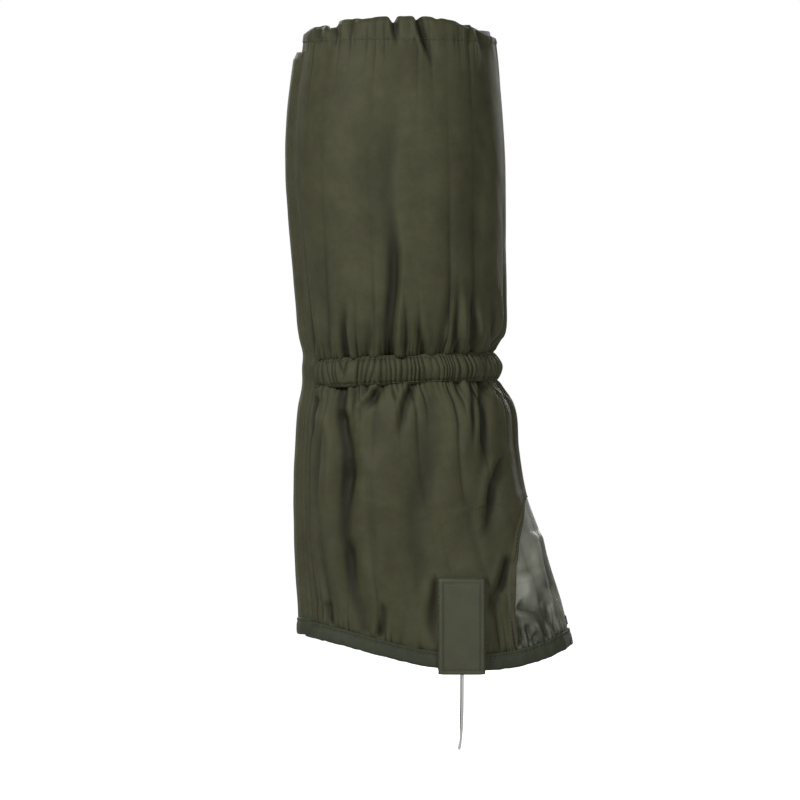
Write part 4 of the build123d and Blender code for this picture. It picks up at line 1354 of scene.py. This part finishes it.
# %% Sew the flap
sewn_edge, free_edge = -FLAP_HALF + 3.0 * MM, FLAP_HALF - FLAP_STITCH
z = np.linspace(FLAP_LOW + FLAP_STITCH, FLAP_HIGH - FLAP_STITCH, 700)
y = np.linspace(sewn_edge, free_edge, 60)
lines = [(np.full_like(z, edge), z) for edge in (free_edge, sewn_edge)]
lines = lines + [(y, np.full_like(y, FLAP_HIGH - FLAP_STITCH))]
flap_rows = []
for line_y, line_z in lines:
    turn = math.pi - np.arcsin(line_y / leg_ellipse(line_z)[2])
    relief = flap_points(line_y, line_z)[1] + ABOVE_CLOTH
    flap_rows.append(leg_point(turn, line_z, relief, valley=False))
flap_sewing = sew("flap_sewing", flap_rows)
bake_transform(flap_sewing)

# %% [markdown]
# ## Metal, zip and hook strips
#
# The zip, the studs, the rivets and the lace hook keep the design's own shapes, because they
# are hard and their sizes matter. They only need finishes. They share a group that gives a
# handled surface its uneven polish, tarnish and fine scratches, and each sets its own colours.

# %% The handled-metal group
def make_polish_group():
    """Uneven polish: a roughness that wanders and fine scratches, from two scales of noise."""
    group = bpy.data.node_groups.new("handled_metal", "ShaderNodeTree")
    value_socket(group, "Smoothest", 0.2)
    value_socket(group, "Roughest", 0.45)
    value_socket(group, "Scratch depth", 0.1)
    for name, kind in (("Roughness", "Float"), ("Tarnish", "Float"), ("Normal", "Vector")):
        group.interface.new_socket(name, in_out="OUTPUT", socket_type=f"NodeSocket{kind}")
    nodes, links = group.nodes, group.links
    inside, outside = nodes.new("NodeGroupInput"), nodes.new("NodeGroupOutput")
    place = nodes.new("ShaderNodeTexCoord")
    patches = node_of(nodes, "ShaderNodeTexNoise", scale=320.0, detail=4.0)
    links.new(place.outputs["Object"], patches.inputs["Vector"])
    polish = node_of(nodes, "ShaderNodeMapRange")
    links.new(patches.outputs["Fac"], polish.inputs["Value"])
    links.new(inside.outputs["Smoothest"], polish.inputs["To Min"])
    links.new(inside.outputs["Roughest"], polish.inputs["To Max"])
    stretched = node_of(nodes, "ShaderNodeMapping")
    stretched.inputs["Scale"].default_value = (3000, 3000, 300)
    links.new(place.outputs["Object"], stretched.inputs["Vector"])
    scratches = node_of(nodes, "ShaderNodeTexNoise", scale=1.0, detail=2.0)
    links.new(stretched.outputs["Vector"], scratches.inputs["Vector"])
    bump = node_of(nodes, "ShaderNodeBump", distance=0.0001)
    links.new(inside.outputs["Scratch depth"], bump.inputs["Strength"])
    links.new(scratches.outputs["Fac"], bump.inputs["Height"])
    links.new(polish.outputs["Result"], outside.inputs["Roughness"])
    links.new(patches.outputs["Fac"], outside.inputs["Tarnish"])
    links.new(bump.outputs["Normal"], outside.inputs["Normal"])
    return group


POLISH = make_polish_group()
print("polish group:", len(POLISH.nodes), "nodes")


# %% Metals and nylon
def hard_material(name, clean, dull, metallic, smoothest, roughest, scratches=0.15):
    """Metal or moulded plastic: tarnish chooses between a clean and a dull colour."""
    material, nodes, links, surface = new_material(name, metallic=metallic)
    polish = nodes.new("ShaderNodeGroup")
    polish.node_tree = POLISH
    polish.inputs["Smoothest"].default_value = smoothest
    polish.inputs["Roughest"].default_value = roughest
    polish.inputs["Scratch depth"].default_value = scratches
    links.new(mix_colors(nodes, links, polish.outputs["Tarnish"], clean, dull), surface.inputs["Base Color"])
    links.new(polish.outputs["Roughness"], surface.inputs["Roughness"])
    links.new(polish.outputs["Normal"], surface.inputs["Normal"])
    return material


GUNMETAL = hard_material("gunmetal", (0.19, 0.19, 0.18), (0.1, 0.1, 0.095), 1.0, 0.25, 0.5)
STEEL = hard_material("cable_steel", (0.62, 0.62, 0.6), (0.42, 0.42, 0.41), 1.0, 0.22, 0.45)
BLACKENED = hard_material("blackened_brass", (0.075, 0.07, 0.06), (0.04, 0.038, 0.034), 1.0, 0.3, 0.55)
ZIP_NYLON = hard_material("zip_nylon", (0.03, 0.03, 0.022), (0.045, 0.045, 0.033), 0.0, 0.3, 0.5)
print("hard finishes:", ", ".join(m.name for m in (GUNMETAL, STEEL, BLACKENED, ZIP_NYLON)))

# %% Finishes for the design's own nodes
FINISHES = [
    (GUNMETAL, ["zip_slider", "zip_pull", "zip_top_stops", "zip_box", "zip_pin"]),
    (GUNMETAL, ["lace_hook", "lace_hook_rivet"]),
    (BLACKENED, ["press_stud_caps", "press_stud_sockets", "press_stud_balls"]),
    (STEEL, ["outer_cable_eye", "inner_cable_eye", "outer_anchor_rivet", "inner_anchor_rivet"]),
    (ZIP_NYLON, ["outer_zip_teeth", "inner_zip_teeth"]),
    (ZIP_TAPE, ["outer_zip_tape", "inner_zip_tape"]),
    (HOOK_STRIP, ["flap_hook_tape", "sleeve_loop_tape"]),
]
for finish, names in FINISHES:
    for name in names:
        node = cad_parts[name]
        if not node.material_slots:
            node.data.materials.append(finish)
        for material_slot in node.material_slots:
            material_slot.material = finish
print("finished", sum(len(names) for _, names in FINISHES), "of the design's own nodes")

# %% [markdown]
# ## The cable's finish
#
# A stranded cable shows fine slanting ridges, too small to be worth modelling, so a Wave Texture
# draws them in the colour and the bump.

# %% The cable's strands
def cable_material():
    """Stranded steel: slanting bright ridges, drawn in the object's own coordinates."""
    material, nodes, links, surface = new_material("stranded_steel", metallic=1.0, roughness=0.32)
    place = nodes.new("ShaderNodeTexCoord")
    strands = node_of(nodes, "ShaderNodeTexWave", bands_direction="DIAGONAL", scale=420.0)
    links.new(place.outputs["Object"], strands.inputs["Vector"])
    ridges = mix_colors(nodes, links, strands.outputs["Fac"], (0.6, 0.6, 0.59), (0.8, 0.8, 0.78))
    links.new(ridges, surface.inputs["Base Color"])
    bump = node_of(nodes, "ShaderNodeBump", distance=0.0002)
    bump.inputs["Strength"].default_value = 0.3
    links.new(strands.outputs["Fac"], bump.inputs["Height"])
    links.new(bump.outputs["Normal"], surface.inputs["Normal"])
    return material


cable.data.materials.append(cable_material())
dress(cable, "cable", "cable_steel", "sole_cable")
